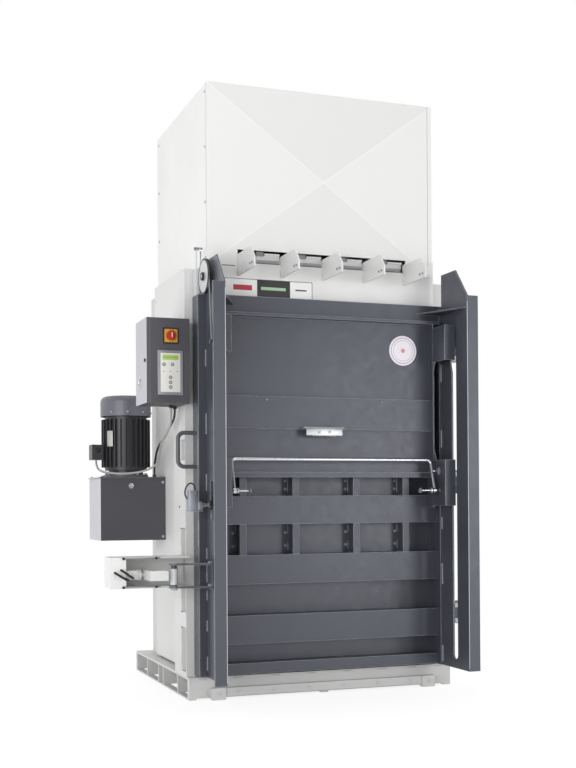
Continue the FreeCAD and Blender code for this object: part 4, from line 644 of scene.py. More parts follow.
def zinc(name, colour, rough, grain_mm=3.0):
    """Zinc plate: a bluish metal, with faint crystals in its tone and patches in its gloss.

    The crystals are drawn coarser than the real ones, so that they show.
    """
    film_mm = 28.6
    made, tree = fresh(name)
    place = add(tree, "ShaderNodeTexCoord").outputs["Object"]
    crystals = add(tree, "ShaderNodeTexVoronoi", {"Vector": place, "Scale": 1000 / grain_mm})
    film = add(tree, "ShaderNodeTexNoise", {"Vector": place, "Scale": 1000 / film_mm, "Detail": 3})
    tone = add(tree, "ShaderNodeMapRange", {"Value": crystals.outputs["Color"], "To Min": 0.88,
                                            "To Max": 1.0})
    grey = add(tree, "ShaderNodeCombineColor", {i: tone.outputs[0] for i in range(3)})
    tint = add(tree, "ShaderNodeMix", {0: 1.0, 6: linear(colour), 7: grey.outputs[0]},
               data_type="RGBA", blend_type="MULTIPLY")
    gloss = add(tree, "ShaderNodeMapRange", {"Value": film.outputs["Fac"], "To Min": rough - 0.1,
                                             "To Max": rough + 0.12})
    edge = add(tree, "ShaderNodeBevel", {"Radius": 0.0006}, samples=4)
    skin = add(tree, "ShaderNodeBsdfPrincipled", {
        "Base Color": tint.outputs[2], "Metallic": 1.0, "Roughness": gloss.outputs[0],
        "Normal": edge.outputs[0]})
    add(tree, "ShaderNodeOutputMaterial", {"Surface": skin.outputs[0]})
    return made


dress(cross_broken_white(), "hood_front")
dress(zinc("dull_zinc_screws", "#B8BABB", 0.45), "hood_screws")
hood_low, hood_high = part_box("hood_panels")
SEAM, SEAM_TOP = 0.0022, hood_high.z - 0.003
RIGHT_SEAM_X, LEFT_SEAM_Y = hood_high.x - 0.026, hood_low.y + 0.018
seam_dark = rubber("shadow_gap_in_seam", "#8D8D8F", 0.8)
seams = joined(
    dark_strip(RIGHT_SEAM_X, RIGHT_SEAM_X + SEAM, hood_low.z + 0.06, SEAM_TOP, hood_low.y),
    block((hood_low.x - 0.0006, LEFT_SEAM_Y, hood_low.z + 0.05),
          (hood_low.x + 0.0002, LEFT_SEAM_Y + SEAM, SEAM_TOP), 0.0002, 1))
piece("hood_seams", seams, seam_dark, "machine")


# ---- press: ground chrome rod and honed barrel on a bridge, with a welded platen under them ----
# Hidden behind the door; the platen comes into view through the loading mouth when it is down.
def metal(name, colour, rough, streak_mm=0.0, along=2, noise=0.08):
    """Bare metal.  With a streak length its gloss is drawn out along one axis, as by grinding.

    Its grain is drawn 6 mm wide, far coarser than real scratches, so that it shows.
    """
    grain_mm = 6.25
    made, tree = fresh(name)
    place = add(tree, "ShaderNodeTexCoord").outputs["Object"]
    stretch = [1000 / grain_mm] * 3
    if streak_mm:
        stretch[along] = 1000 / streak_mm
    scaled = add(tree, "ShaderNodeVectorMath", {0: place, 1: stretch}, operation="MULTIPLY")
    grain = add(tree, "ShaderNodeTexNoise", {"Vector": scaled.outputs[0], "Scale": 1.0, "Detail": 3})
    gloss = add(tree, "ShaderNodeMapRange", {"Value": grain.outputs["Fac"], "From Min": 0.25,
                                             "From Max": 0.75, "To Min": max(rough - noise, 0.03),
                                             "To Max": rough + noise})
    edge = add(tree, "ShaderNodeBevel", {"Radius": 0.0008}, samples=4)
    relief = add(tree, "ShaderNodeBump", {"Height": grain.outputs["Fac"], "Strength": 0.06,
                                          "Distance": 0.0005, "Normal": edge.outputs[0]})
    skin = add(tree, "ShaderNodeBsdfPrincipled", {
        "Base Color": linear(colour), "Metallic": 1.0, "Roughness": gloss.outputs[0],
        "Normal": relief.outputs[0]})
    add(tree, "ShaderNodeOutputMaterial", {"Surface": skin.outputs[0]})
    return made


chrome = metal("hard_chrome_on_ground_steel", "#D9DBDE", 0.12, streak_mm=240, along=0, noise=0.05)
dress(chrome, "piston_rod")
# Its pale, wide and strong edge line is a painted highlight along the door's edges.
dark_coat = powder_coat("dark_grey_powder_coat_on_plate", "#3C3E46", "#B2B6BD", 0.40, edge_mm=6,
                        edge_wear_and_highlight_share=0.9, coat=0.30, shine=0.6, tint="#EFF3FF")
dress(dark_coat, "press_cylinder", "platen")
dress(body_white, "cylinder_bridge")

# ---- door: box sides, skin, channel ribs with posts, a top beam, and a folded column each side ----
# Heavy plate, welded and powder-coated dark grey.  Stitch welds and plug welds show under the coat.
dress(dark_coat, "door_sides", "door_skin", "door_ribs", "door_top_beam")
# As on the door, the pale edge line is a painted highlight.
folded_coat = powder_coat("dark_grey_powder_coat_on_folded_column", "#45474F", "#B2B6BD", 0.40,
                          edge_mm=6, edge_wear_and_highlight_share=0.9, coat=0.30, shine=0.6, tint="#EFF3FF")
dress(folded_coat, "door_column_left", "door_column_right")
weld_dark = powder_coat("dark_grey_coat_over_weld", "#8A8D93", "#A9ABB0", 0.32, peel_mm=4, edge_wear_and_highlight_share=0.3)
pale_line_coat = powder_coat("pale_coat_for_painted_highlight_and_slit_lines", "#C3C6CC", "#D5D8DC", 0.32, edge_wear_and_highlight_share=0.3)
weld_pale = powder_coat("thin_coat_over_stitch_weld", "#7E8188", "#A9ABB0", 0.36, peel_mm=4,
                        edge_wear_and_highlight_share=0.3)
skin_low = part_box("door_skin")[0]
ribs_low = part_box("door_ribs")[0]
WEB_FACE = 0.671
LEFT_BEAD, RIGHT_BEAD = (-WEB_FACE - 0.0065, FRONT - 0.065), (WEB_FACE - 0.0005, FRONT - 0.095)
LEFT_STITCHES = [(1.832, 1.744), (1.500, 1.391), (1.183, 1.095), (0.798, 0.741), (0.720, 0.621),
                 (0.580, 0.528), (0.423, 0.366), (0.235, 0.162)]
RIGHT_STITCHES = [(1.795, 1.696), (1.430, 1.330), (0.947, 0.880), (0.691, 0.574), (0.235, 0.145)]
stitches = [[(*spot, top), (*spot, bottom)]
            for spot, levels in ((LEFT_BEAD, LEFT_STITCHES), (RIGHT_BEAD, RIGHT_STITCHES))
            for top, bottom in levels]
welds("door_column_welds", stitches, 0.0062, weld_pale, "door")
# Pale lines down the columns' front corners are painted highlights, where a rounded bend would catch
# the lamp at the right; two short pale slits on the left side share the same coat.
CORNER_WIDE, CORNER_Y = 0.0036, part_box("door_column_left")[0].y
CORNER_LOW, CORNER_HIGH = 0.14, 2.10
corner_lines = [block((x, CORNER_Y - 0.0003, CORNER_LOW),
                      (x + CORNER_WIDE, CORNER_Y + 0.0005, CORNER_HIGH), 0.0002, 1)
                for x in (-WEB_FACE - CORNER_WIDE, WEB_FACE)]
SLOT_Y = FRONT - 0.053
for low, high in ((0.804, 0.944), (1.231, 1.371)):
    corner_lines.append(block((-0.7208, SLOT_Y, low), (-0.7202, SLOT_Y + 0.006, high), 0.0001, 1))
piece("door_column_corner_lines", joined(*corner_lines), pale_line_coat, "door")
RIB_LEVELS = [(0.130, 0.188), (0.287, 0.439), (0.602, 0.757), (0.918, 1.069)]
RIB_END, RIB_BEAD_Y, RIB_BEAD_INSET = 0.660, ribs_low.y + 0.004, 0.012
POST_X, POST_HALF, POST_BEAD_Y = (-0.474, -0.176, 0.176, 0.474), 0.019, skin_low.y - 0.001
rib_runs = [[(x, RIB_BEAD_Y, low + RIB_BEAD_INSET), (x, RIB_BEAD_Y, high - RIB_BEAD_INSET)]
            for low, high in RIB_LEVELS for x in (-RIB_END, RIB_END)]
for middle in POST_X:
    for low, high in ((0.757, 0.918), (1.069, 1.180)):
        for x in (middle - POST_HALF, middle + POST_HALF):
            for start, end in ((low + 0.02, low + 0.06), (high - 0.05, high - 0.01)):
                rib_runs.append([(x, POST_BEAD_Y, start), (x, POST_BEAD_Y, end)])
welds("door_rib_welds", rib_runs, 0.0030, weld_dark, "door")
PLUG_SIDE = 0.034
plugs = [((x - PLUG_SIDE, skin_low.y, z), FORWARD)
         for x in POST_X for z in (0.80, 0.87, 1.105, 1.15)]
heads("plug_welds", plugs, 0.008, 0.0015, weld_dark, "door", sides=16, recess=0.7)

# ---- hinges: burnt-out lugs on the right column, pins in them, arms welded to the door ----
# The lugs are white with the column and the arms dark with the door; the pins are greased steel.
dress(column_white, "hinge_lugs")
dress(dark_coat, "hinge_arms")
bright_steel = metal("cold_drawn_steel", "#A9ACAF", 0.36, streak_mm=360, along=2)
HINGE = (0.800, FRONT - 0.020)
HINGE_LEVELS = [0.376 + step * 0.737 for step in range(3)]
ARM_TALL, LUG_GAPS, LUG_TALL, PIN_STAND = 0.060, 0.0006, 0.025, 0.006


def bridge(work, rows, ring=False):
    """Faces from each row of points to the next.  A row of one point is a pole."""
    for low, high in list(zip(rows, rows[1:])) + ([(rows[-1], rows[0])] if ring else []):
        count = max(len(low), len(high))
        for step in range(count):
            after = (step + 1) % count
            corners = [low[step % len(low)], low[after % len(low)], high[after % len(high)],
                       high[step % len(high)]]
            corners = list(dict.fromkeys(corners))
            if len(corners) > 2:
                work.faces.new(corners)


def upright(start, axis):
    """The place of a mesh that is made upright at zero and stands at a point along an axis."""
    return Matrix.Translation(start) @ Vector(axis).to_track_quat("Z", "Y").to_matrix().to_4x4()


def turned(profile, centre, axis=UPWARD, sides=48, ring=False):
    """A turned mesh: (radius, height) pairs about an axis.  A ring's last pair meets its first."""
    work = bmesh.new()
    place = upright(centre, axis)
    rows = []
    for radius, height in profile:
        angles = [2 * math.pi * step / sides for step in range(sides if radius > 1e-6 else 1)]
        rows.append([work.verts.new(place @ Vector((radius * math.cos(a), radius * math.sin(a),
                                                    height))) for a in angles])
    bridge(work, rows, ring)
    return meshed(work)


def sleeve(bore, radius, length, start, axis=UPWARD, sides=32):
    """A plain round sleeve or ring that begins at a point."""
    return turned([(bore, 0), (radius, 0), (radius, length), (bore, length)], start, axis, sides,
                  ring=True)


pin_ends = []
for z in HINGE_LEVELS:
    top = z + ARM_TALL + LUG_GAPS + LUG_TALL + PIN_STAND
    pin_ends.append(turned([(0, 0), (0.0125, 0), (0.0125, 0.003), (0.010, 0.0065), (0, 0.0075)],
                           (*HINGE, top - 0.001), sides=32))
    pin_ends.append(sleeve(0.0122, 0.019, 0.0015, (*HINGE, top - 0.0062)))
piece("hinge_pin_caps", joined(*pin_ends), bright_steel, "machine")

# ---- pull handle: 22 mm round bar, bent to a D and welded to the rail ----
# Dark coat with the door, rubbed smooth and a little brighter where a hand takes it.
handle_coat = powder_coat("hand_rubbed_dark_powder_coat", "#55575C", "#8E9095", 0.34, edge_wear_and_highlight_share=0.6,
                          coat=0.2)
dress(handle_coat, "pull_handle")
handle_low, handle_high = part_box("pull_handle")
HANDLE_R = 0.011
handle_y = (handle_low.y + handle_high.y) / 2
handle_rings = [turned([(0.0108, -0.004), (0.0145, -0.002), (0.0145, 0.0005), (0.0108, 0.0005)],
                       (handle_high.x, handle_y, z), RIGHTWARD, 32, ring=True)
                for z in (handle_low.z + HANDLE_R, handle_high.z - HANDLE_R)]
piece("handle_welds", joined(*handle_rings), weld_dark, "door")

# ---- counterweight in its rail, with the pulley, its bracket and the steel rope ----
# The weight is a sawn steel bar, the pulley cast and turned aluminium, the rope 8 mm galvanised.
dress(folded_coat, "counterweight_rail")
dress(bright_steel, "counterweight")
aluminium = metal("turned_cast_aluminium", "#D5D7D8", 0.42, noise=0.06)
pale_bracket = powder_coat("pale_grey_powder_coat_on_bracket", "#CFD1D3", "#E8E8E8", 0.45, edge_wear_and_highlight_share=0.3)
dress(pale_bracket, "pulley_bracket")
wheel_low, wheel_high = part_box("pulley")
wheel_centre = (wheel_low + wheel_high) / 2
WHEEL_R = (wheel_high.z - wheel_low.z) / 2
HALF_WIDE = (wheel_high.x - wheel_low.x) / 2
HUB_R, DISH_R, SHADE_RIM_R = 0.030, 0.060, 0.082
wheel_profile = [(0.0101, -HALF_WIDE), (HUB_R, -HALF_WIDE), (HUB_R + 0.001, -HALF_WIDE + 0.001),
                 (DISH_R, -HALF_WIDE + 0.001), (DISH_R + 0.001, -HALF_WIDE + 0.0002),
                 (SHADE_RIM_R, -HALF_WIDE + 0.0002), (SHADE_RIM_R, -0.0044), (0.0762, -0.0022), (0.0758, 0.0),
                 (0.0762, 0.0022), (SHADE_RIM_R, 0.0044), (SHADE_RIM_R, HALF_WIDE), (0.0101, HALF_WIDE)]
piece("pulley_wheel", turned(wheel_profile, wheel_centre, RIGHTWARD, 96, ring=True), aluminium,
      "pulley", ["pulley"])
# The pulley's rims are black as painted shade: the dark of the rope's groove and of the shadow at the
# wheel's edge.
dark_oiled_and_shaded = rubber("dark_oiled_steel_and_painted_shade", "#26272A", 0.4)
shaded_rim_rows = [(side * reach, radius) for side in (-1, 1)
             for reach, radius in ((0.0044, SHADE_RIM_R), (HALF_WIDE, SHADE_RIM_R), (HALF_WIDE, WHEEL_R - 0.001),
                                   (HALF_WIDE - 0.001, WHEEL_R), (0.0055, WHEEL_R))]
shaded_rims = [turned([(radius, reach) for reach, radius in rows], wheel_centre, RIGHTWARD, 96, ring=True)
         for rows in (shaded_rim_rows[:5], shaded_rim_rows[5:])]
piece("pulley_rims_in_painted_shade", joined(*shaded_rims), dark_oiled_and_shaded, "pulley")
zinc_coat = zinc("bright_zinc_plate_on_steel", "#C3C7CC", 0.33)
BAR_TOP = 2.370
crossbar = joined(block((-0.730, -0.6545, BAR_TOP - 0.018), (-0.682, -0.6505, BAR_TOP), 0.0008),
                  block((-0.697, -0.6540, 2.262), (-0.690, -0.6500, 2.3525), 0.0008))
piece("bracket_crossbar", crossbar, zinc_coat, "machine")
heads("crossbar_screws",
      [((x, -0.6545, BAR_TOP - 0.009), FORWARD) for x in (-0.722, -0.706, -0.690)],
      0.0035, 0.002, dark_oiled_and_shaded, "machine", sides=12)
CAP_LONG = 0.0105
cap_start = (wheel_low.x - 0.0005, wheel_centre.y, wheel_centre.z)
cap_mesh = turned([(0.0101, 0.0), (0.0215, 0.0), (0.0215, CAP_LONG - 0.002), (0.0195, CAP_LONG),
                   (0.0101, CAP_LONG)], cap_start, LEFTWARD, 40, ring=True)
piece("pulley_axle_cap", cap_mesh, dark_oiled_and_shaded, "door")


def rope_steel():
    """Galvanised wire rope: the strands' lay is a slanted bump, one strand every 4 mm, with painted
    shade in the grooves and painted highlight on the crests.
    """
    made, tree = fresh("galvanised_wire_rope")
    place = add(tree, "ShaderNodeTexCoord").outputs["Object"]
    parts = add(tree, "ShaderNodeSeparateXYZ", {0: place})
    slant = add(tree, "ShaderNodeMath", {0: parts.outputs[0], 1: parts.outputs[2]}, operation="ADD")
    turns = add(tree, "ShaderNodeMath", {0: slant.outputs[0], 1: 2 * math.pi / 0.004},
                operation="MULTIPLY")
    wave = add(tree, "ShaderNodeMath", {0: turns.outputs[0]}, operation="SINE")
    # Painted shade and highlight: the tone runs dark in the grooves and pale on the strands' crests.
    tone = add(tree, "ShaderNodeMapRange", {"Value": wave.outputs[0], "From Min": -1.0,
                                            "To Min": 0.0, "To Max": 1.0})
    colour = add(tree, "ShaderNodeMix", {0: tone.outputs[0], 6: linear("#6F7274"),
                                         7: linear("#C9CCCE")}, data_type="RGBA")
    lay = add(tree, "ShaderNodeBump", {"Height": wave.outputs[0], "Strength": 0.6,
                                       "Distance": 0.001})
    skin = add(tree, "ShaderNodeBsdfPrincipled", {
        "Base Color": colour.outputs[2], "Metallic": 1.0, "Roughness": 0.42,
        "Normal": lay.outputs[0]})
    add(tree, "ShaderNodeOutputMaterial", {"Surface": skin.outputs[0]})
    return made


wire_rope = rope_steel()


def smooth_line(name, points, radius, order, sides, steps):
    """An object that is a round bar or cord along a smooth line with these control points."""
    line = bpy.data.curves.new(name, "CURVE")
    line.dimensions = "3D"
    line.bevel_depth = radius
    line.bevel_resolution = sides
    line.use_fill_caps = True
    line.resolution_u = steps
    path = line.splines.new("NURBS")
    path.points.add(len(points) - 1)
    for knot, point in zip(path.points, points):
        knot.co = (*point, 1)
    path.order_u = order
    path.use_endpoint_u = True
    made = bpy.data.objects.new(name, line)
    bpy.context.scene.collection.objects.link(made)
    return made


def bent_bar(points, radius, order=3, sides=5):
    """The mesh of a bar that is bent along a smooth line."""
    holder = smooth_line("bar", points, radius, order, sides, 8)
    bpy.context.view_layer.update()
    seen = holder.evaluated_get(bpy.context.evaluated_depsgraph_get())
    mesh = bpy.data.meshes.new_from_object(seen)
    bpy.data.objects.remove(holder)
    mesh.materials.clear()
    return mesh


def rope_piece(name, mesh, replaced):
    """A run of rope between the door and the body that pulls its lower end, left as a plain object in
    the world, attached to neither.
    """
    made = bpy.data.objects.new(name, mesh)
    bpy.context.scene.collection.objects.link(made)
    made.data.materials.append(wire_rope)
    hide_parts(replaced)
    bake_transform(made)
    return made


ROPE_STEPS = 24


def straight(start, end):
    """Even points on a straight line."""
    return [tuple(Vector(start).lerp(Vector(end), step / ROPE_STEPS))
            for step in range(ROPE_STEPS + 1)]


ROPE_R, ROPE_X, SHEAVE = 0.004, wheel_centre.x, 0.080
over = [(ROPE_X, wheel_centre.y - SHEAVE * math.cos(a), wheel_centre.z + SHEAVE * math.sin(a))
        for a in [math.pi * step / ROPE_STEPS for step in range(ROPE_STEPS + 1)]]
ROPE_EYE = Vector((ROPE_X, FRONT - 0.245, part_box("rope_front")[0].z))
TANGENT = Vector((ROPE_X, wheel_centre.y - SHEAVE, wheel_centre.z))
front_line = straight(ROPE_EYE, TANGENT.lerp(ROPE_EYE, 0.03))
rope_piece("front_rope", bent_bar(front_line + over, ROPE_R, sides=4), "rope_front")
rear_low, rear_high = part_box("rope_rear")
rear_line = straight((ROPE_X, rear_low.y + ROPE_R, rear_low.z),
                     (ROPE_X, rear_high.y - ROPE_R, rear_high.z))
rope_piece("rear_rope", bent_bar(rear_line, ROPE_R, sides=4), "rope_rear")

# ---- flap: sheet with lips and a folded rib, side cheeks with brackets, and bushes in the slots ----
# The same dark coat as the door.  Screws hold the rib's liner, and two bolts hold the grip.
dress(dark_coat, "flap_panel", "flap_cheeks")


def side_plate(corners, inner, outer):
    """A flat plate between two x values, with its outline as (y from the base's front, z)."""
    work = bmesh.new()
    rows = [[work.verts.new((x, FRONT + y, z)) for y, z in corners] for x in (inner, outer)]
    work.faces.new(rows[0])
    work.faces.new(rows[1])
    bridge(work, rows)
    return meshed(work)


CHEEK_IN, CHEEK_OUT = 0.6022, 0.6098
gussets = []
for side in (-1, 1):
    inner, outer = sorted((side * CHEEK_IN, side * CHEEK_OUT))
    for corners in (((-0.1302, 1.2605), (-0.1602, 1.2605), (-0.1302, 1.325)),
                    ((-0.1302, 1.7995), (-0.1502, 1.7995), (-0.1302, 1.760))):
        gussets.append(side_plate(corners, inner, outer))
piece("cheek_gussets", joined(*gussets), dark_coat, "flap")
grip_coat = powder_coat("pale_powder_coat_on_grip", "#8B8F95", "#D5D7D9", 0.4, edge_wear_and_highlight_share=0.5)
dress(grip_coat, "flap_grip")
RIB_FACE, RIB_SCREW_Z = FRONT - 0.110, 1.575
heads("flap_rib_screws", [((x, RIB_FACE, RIB_SCREW_Z), FORWARD) for x in (-0.36, 0.30)],
      0.006, 0.003, weld_dark, "flap", sides=16)
grip_low, grip_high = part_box("flap_grip")
BAR_FACE = grip_low.y - 0.0015
grip_bar = block((grip_low.x + 0.012, BAR_FACE, grip_low.z + 0.004),
                 (grip_high.x - 0.012, grip_low.y + 0.0002, grip_high.z - 0.010), 0.0006)
piece("grip_plate", grip_bar, zinc("satin_zinc_plate_on_bar", "#D8DADC", 0.42), "flap")
heads("grip_bolts", [((x, BAR_FACE, grip_low.z + 0.021), FORWARD)
                     for x in (grip_low.x + 0.085, grip_high.x - 0.085)],
      0.0075, 0.005, bright_steel, "flap")


def disc_film():
    """Screen-printed film disc: off-white with two thin grey rings and a small red dot."""
    made, tree = fresh("screen_printed_film_disc")
    place = add(tree, "ShaderNodeTexCoord").outputs["Object"]
    away = add(tree, "ShaderNodeVectorMath", {0: place, 1: (disc_centre.x, 0, disc_centre.z)},
               operation="SUBTRACT")
    flat = add(tree, "ShaderNodeVectorMath", {0: away.outputs[0], 1: (1, 0, 1)},
               operation="MULTIPLY")
    far = add(tree, "ShaderNodeVectorMath", {0: flat.outputs[0]}, operation="LENGTH")
    ring = add(tree, "ShaderNodeMath", {0: far.outputs["Value"], 1: 0.070, 2: 0.0022},
               operation="COMPARE")
    inner = add(tree, "ShaderNodeMath", {0: far.outputs["Value"], 1: 0.057, 2: 0.0012},
                operation="COMPARE")
    rings = add(tree, "ShaderNodeMath", {0: ring.outputs[0], 1: inner.outputs[0]},
                operation="MAXIMUM")
    dot = add(tree, "ShaderNodeMath", {0: far.outputs["Value"], 1: 0.012}, operation="LESS_THAN")
    printed = add(tree, "ShaderNodeMix", {0: rings.outputs[0], 6: linear("#E9E2EA"),
                                          7: linear("#A9A3AE")}, data_type="RGBA")
    colour = add(tree, "ShaderNodeMix", {0: dot.outputs[0], 6: printed.outputs[2],
                                         7: linear("#D5858C")}, data_type="RGBA")
    skin = add(tree, "ShaderNodeBsdfPrincipled", {"Base Color": colour.outputs[2],
                                                  "Roughness": 0.35, "IOR": 1.5})
    add(tree, "ShaderNodeOutputMaterial", {"Surface": skin.outputs[0]})
    return made


disc_low, disc_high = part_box("round_plate")
disc_centre = (disc_low + disc_high) / 2
disc_r = (disc_high.x - disc_low.x) / 2
disc_thick = disc_high.y - disc_low.y
disc_mesh = turned([(0, 0), (disc_r, 0), (disc_r, disc_thick - 0.0006),
                    (disc_r - 0.0006, disc_thick), (0, disc_thick)],
                   (disc_centre.x, disc_high.y, disc_centre.z), FORWARD, 96)
piece("round_sign", disc_mesh, disc_film(), "flap", ["round_plate"])

# ---- bail: 18 mm ground bar bent to a wide U, with an eye on each pin of the flap's cheeks ----
# Chromed, because hands slide along it.  A round nut keeps each eye on its pin.
bail_chrome = metal("satin_chrome_on_round_bar", "#C9CCD0", 0.22, streak_mm=300, along=0, noise=0.06)
dress(bail_chrome, "bail")
BAIL_Y, BAIL_Z = FRONT - 0.200, 1.094
eye_nuts = []
for side in (-1, 1):
    eye_nuts.append(turned([(0, 0), (0.015, 0), (0.016, 0.001), (0.016, 0.008), (0.013, 0.011),
                            (0, 0.0115)], (side * 0.558, BAIL_Y, BAIL_Z), (-side, 0, 0), 32))
piece("bail_nuts", joined(*eye_nuts), zinc_coat, "flap")


def star_grip(start, way, radius=0.022, lobes=5, sides=60):
    """A moulded star grip, which stands on a point and faces a way."""
    work = bmesh.new()
    place = upright(start, way)
    rows = []
    for share, height in ((0.55, 0.0), (0.95, 0.003), (1.0, 0.010), (0.7, 0.016)):
        row = []
        for angle in [2 * math.pi * step / sides for step in range(sides)]:
            reach = radius * share * (0.86 + 0.14 * math.cos(lobes * angle))
            row.append(work.verts.new(place @ Vector((reach * math.cos(angle),
                                                      reach * math.sin(angle), height))))
        rows.append(row)
    work.faces.new(rows[0])
    work.faces.new(rows[-1])
    bridge(work, rows)
    return meshed(work, 50)


BAIL_CATCH_Z = 1.199
grips = [star_grip((0.606, BAIL_Y, BAIL_CATCH_Z), LEFTWARD)]
stems = [bent_bar([(0.604, BAIL_Y, BAIL_CATCH_Z), (0.580, BAIL_Y, BAIL_CATCH_Z),
                   (0.560, BAIL_Y, BAIL_CATCH_Z)], 0.006, order=2)]
for side in (-1, 1):
    stems.append(bent_bar([(side * 0.548, BAIL_Y, BAIL_Z), (side * 0.520, BAIL_Y, BAIL_Z),
                           (side * 0.492, BAIL_Y, BAIL_Z)], 0.005, order=2))
    grips.append(star_grip((side * 0.494, BAIL_Y, BAIL_Z), (-side, 0, 0), 0.015))
piece("bail_catch_pins", joined(*stems), bail_chrome, "flap")
piece("bail_catch_grips", joined(*grips), rubber("grey_moulded_grip", "#6E7177", 0.4), "flap")

# ---- limit switch on the left door column, with its cable loop, spindle, nuts and star knob ----
# Zinc die casting with a bright steel spindle; the clamp knob is black moulded thermoset.
dress(rubber("black_moulded_thermoset", "#202022", 0.38), "star_knob")
switch_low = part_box("limit_switch")[0]
SPINDLE = (FRONT - 0.170, 1.022)
SWITCH_SPLIT, SWITCH_STEP, SWITCH_END, SWITCH_BACK = -0.760, 1.041, -0.737, SPINDLE[0] + 0.025
casting = joined(
    block((switch_low.x, switch_low.y, 0.997), (SWITCH_SPLIT, SWITCH_BACK, 1.097), 0.003),
    block((SWITCH_SPLIT - 0.002, switch_low.y + 0.0005, 0.9975),
          (SWITCH_END, SWITCH_BACK - 0.0005, SWITCH_STEP), 0.003),
    block((switch_low.x, switch_low.y, 0.989), (SWITCH_END, SWITCH_BACK - 0.0005, 0.9968)))
piece("switch_casting", casting, zinc("zinc_die_casting", "#B4BAC3", 0.5, grain_mm=5), "door",
      ["limit_switch"])
piece("switch_spindle", bent_bar([(SWITCH_END - 0.004, *SPINDLE), (-0.706, *SPINDLE),
                                  (-0.677, *SPINDLE)], 0.007, order=2, sides=7), bright_steel, "door")


def nut(bore, radius, tall, start, axis):
    """A plain hexagon nut, chamfered on both faces."""
    return turned([(bore, 0), (radius - 0.001, 0), (radius, 0.001), (radius, tall - 0.001),
                   (radius - 0.001, tall), (bore, tall)], start, axis, 6, ring=True)


nuts = [nut(0.0071, radius, 0.008, (x, *SPINDLE), RIGHTWARD)
        for x, radius in ((-0.7335, 0.012), (-0.7230, 0.012), (-0.7000, 0.011))]
piece("switch_nuts", joined(*nuts), bright_steel, "door")
loop = [(x, SPINDLE[0] + behind, z) for x, behind, z in (
    (-0.770, 0.0, 1.098), (-0.771, 0.0, 1.122), (-0.790, 0.004, 1.138), (-0.812, 0.010, 1.122),
    (-0.822, 0.014, 1.090), (-0.815, 0.018, 1.062), (-0.802, 0.020, 1.052))]
piece("switch_lead", bent_bar(loop, 0.0035), rubber_black_and_shade, "door")
heads("switch_screws",
      [((x, switch_low.y, z), FORWARD) for x in (-0.798, -0.772) for z in (1.012, 1.084)],
      0.004, 0.003, bright_steel, "door", sides=12)

# ---- door lock: arms with a pin on the door, and a ram that drives a jaw in a channel ----
# The channel is white sheet, the arms are dark cut plate, the ram and the jaw have a pale coat, and
# the bolts are zinc-plated.
dress(hood_white, "lock_housing")
dress(dark_coat, "lock_arms")
dress(powder_coat("white_coat_on_jaw", "#DEDEDC", "#EEEEEC", 0.4, edge_wear_and_highlight_share=0.3), "lock_jaw")
dress(powder_coat("pale_coat_on_ram", "#D9D9D7", "#EEEEEC", 0.35, edge_wear_and_highlight_share=0.3), "lock_cylinder")
PIN = (-0.868, FRONT - 0.115)
ARMS_LOW, ARMS_HIGH = 0.598, 0.716
heads("lock_pin_bolts", [((*PIN, ARMS_HIGH), UPWARD), ((*PIN, ARMS_LOW), (0, 0, -1))],
      0.017, 0.009, zinc_coat, "door", recess=0.5)
heads("lock_arm_bolts", [((-0.6955, FRONT - 0.170, z), FORWARD) for z in (0.612, 0.725)],
      0.011, 0.007, zinc_coat, "door")
piece("lock_pin_sleeve", sleeve(0.0151, 0.0193, 0.082, (*PIN, 0.616), sides=40), pale_bracket,
      "door")
HOSE_R = 0.006
HOSES = [[(-1.128, -0.657, 0.694), (-1.120, -0.700, 0.690), (-1.088, -0.706, 0.660),
          (-1.062, -0.657, 0.650)],
         [(-1.160, -0.657, 0.682), (-1.152, -0.705, 0.674), (-1.112, -0.712, 0.645),
          (-1.088, -0.657, 0.642)]]
piece("ram_hoses", joined(*[bent_bar(hose, HOSE_R, order=4) for hose in HOSES]), rubber_black_and_shade,
      "machine", ["lock_hoses"])
ROD_R, ROD_Y, ROD_LEVELS = 0.0042, -0.6725, (0.751, 0.604)
rods = [bent_bar([(x, ROD_Y, z) for x in (-1.121, -1.020, -0.923)], ROD_R, order=2)
        for z in ROD_LEVELS]
piece("channel_edge_rods", joined(*rods), bright_steel, "machine")
rod_ends = [sleeve(ROD_R + 0.0001, 0.0062, 0.012, (x, ROD_Y, z), RIGHTWARD, 20)
            for x in (-1.120, -0.950) for z in ROD_LEVELS]
piece("channel_rod_clips", joined(*rod_ends), rubber_black_and_shade, "machine")

# ---- control cabinet on the left column, with its lid, lock, main switch and keypad ----
# Folded sheet with a dark fine-texture coat; the lid's left face is painted pale, as painted light from
# the left.
dark_sheet = powder_coat("dark_texture_coat_on_cabinet", "#504F54", "#B9BBC0", 0.5, peel_mm=3,
                         edge_wear_and_highlight_share=0.75)
lit_left_paint = powder_coat("dark_coat_on_lid_painted_lit_on_left", "#54545A", "#C9CBCF", 0.45, peel_mm=3, edge_wear_and_highlight_share=0.7,
                       lit_left_colour="#B9B9C0")
dress(dark_sheet, "control_cabinet")
dress(lit_left_paint, "cabinet_lid")
dress(rubber_black_and_shade, "cabinet_lock")


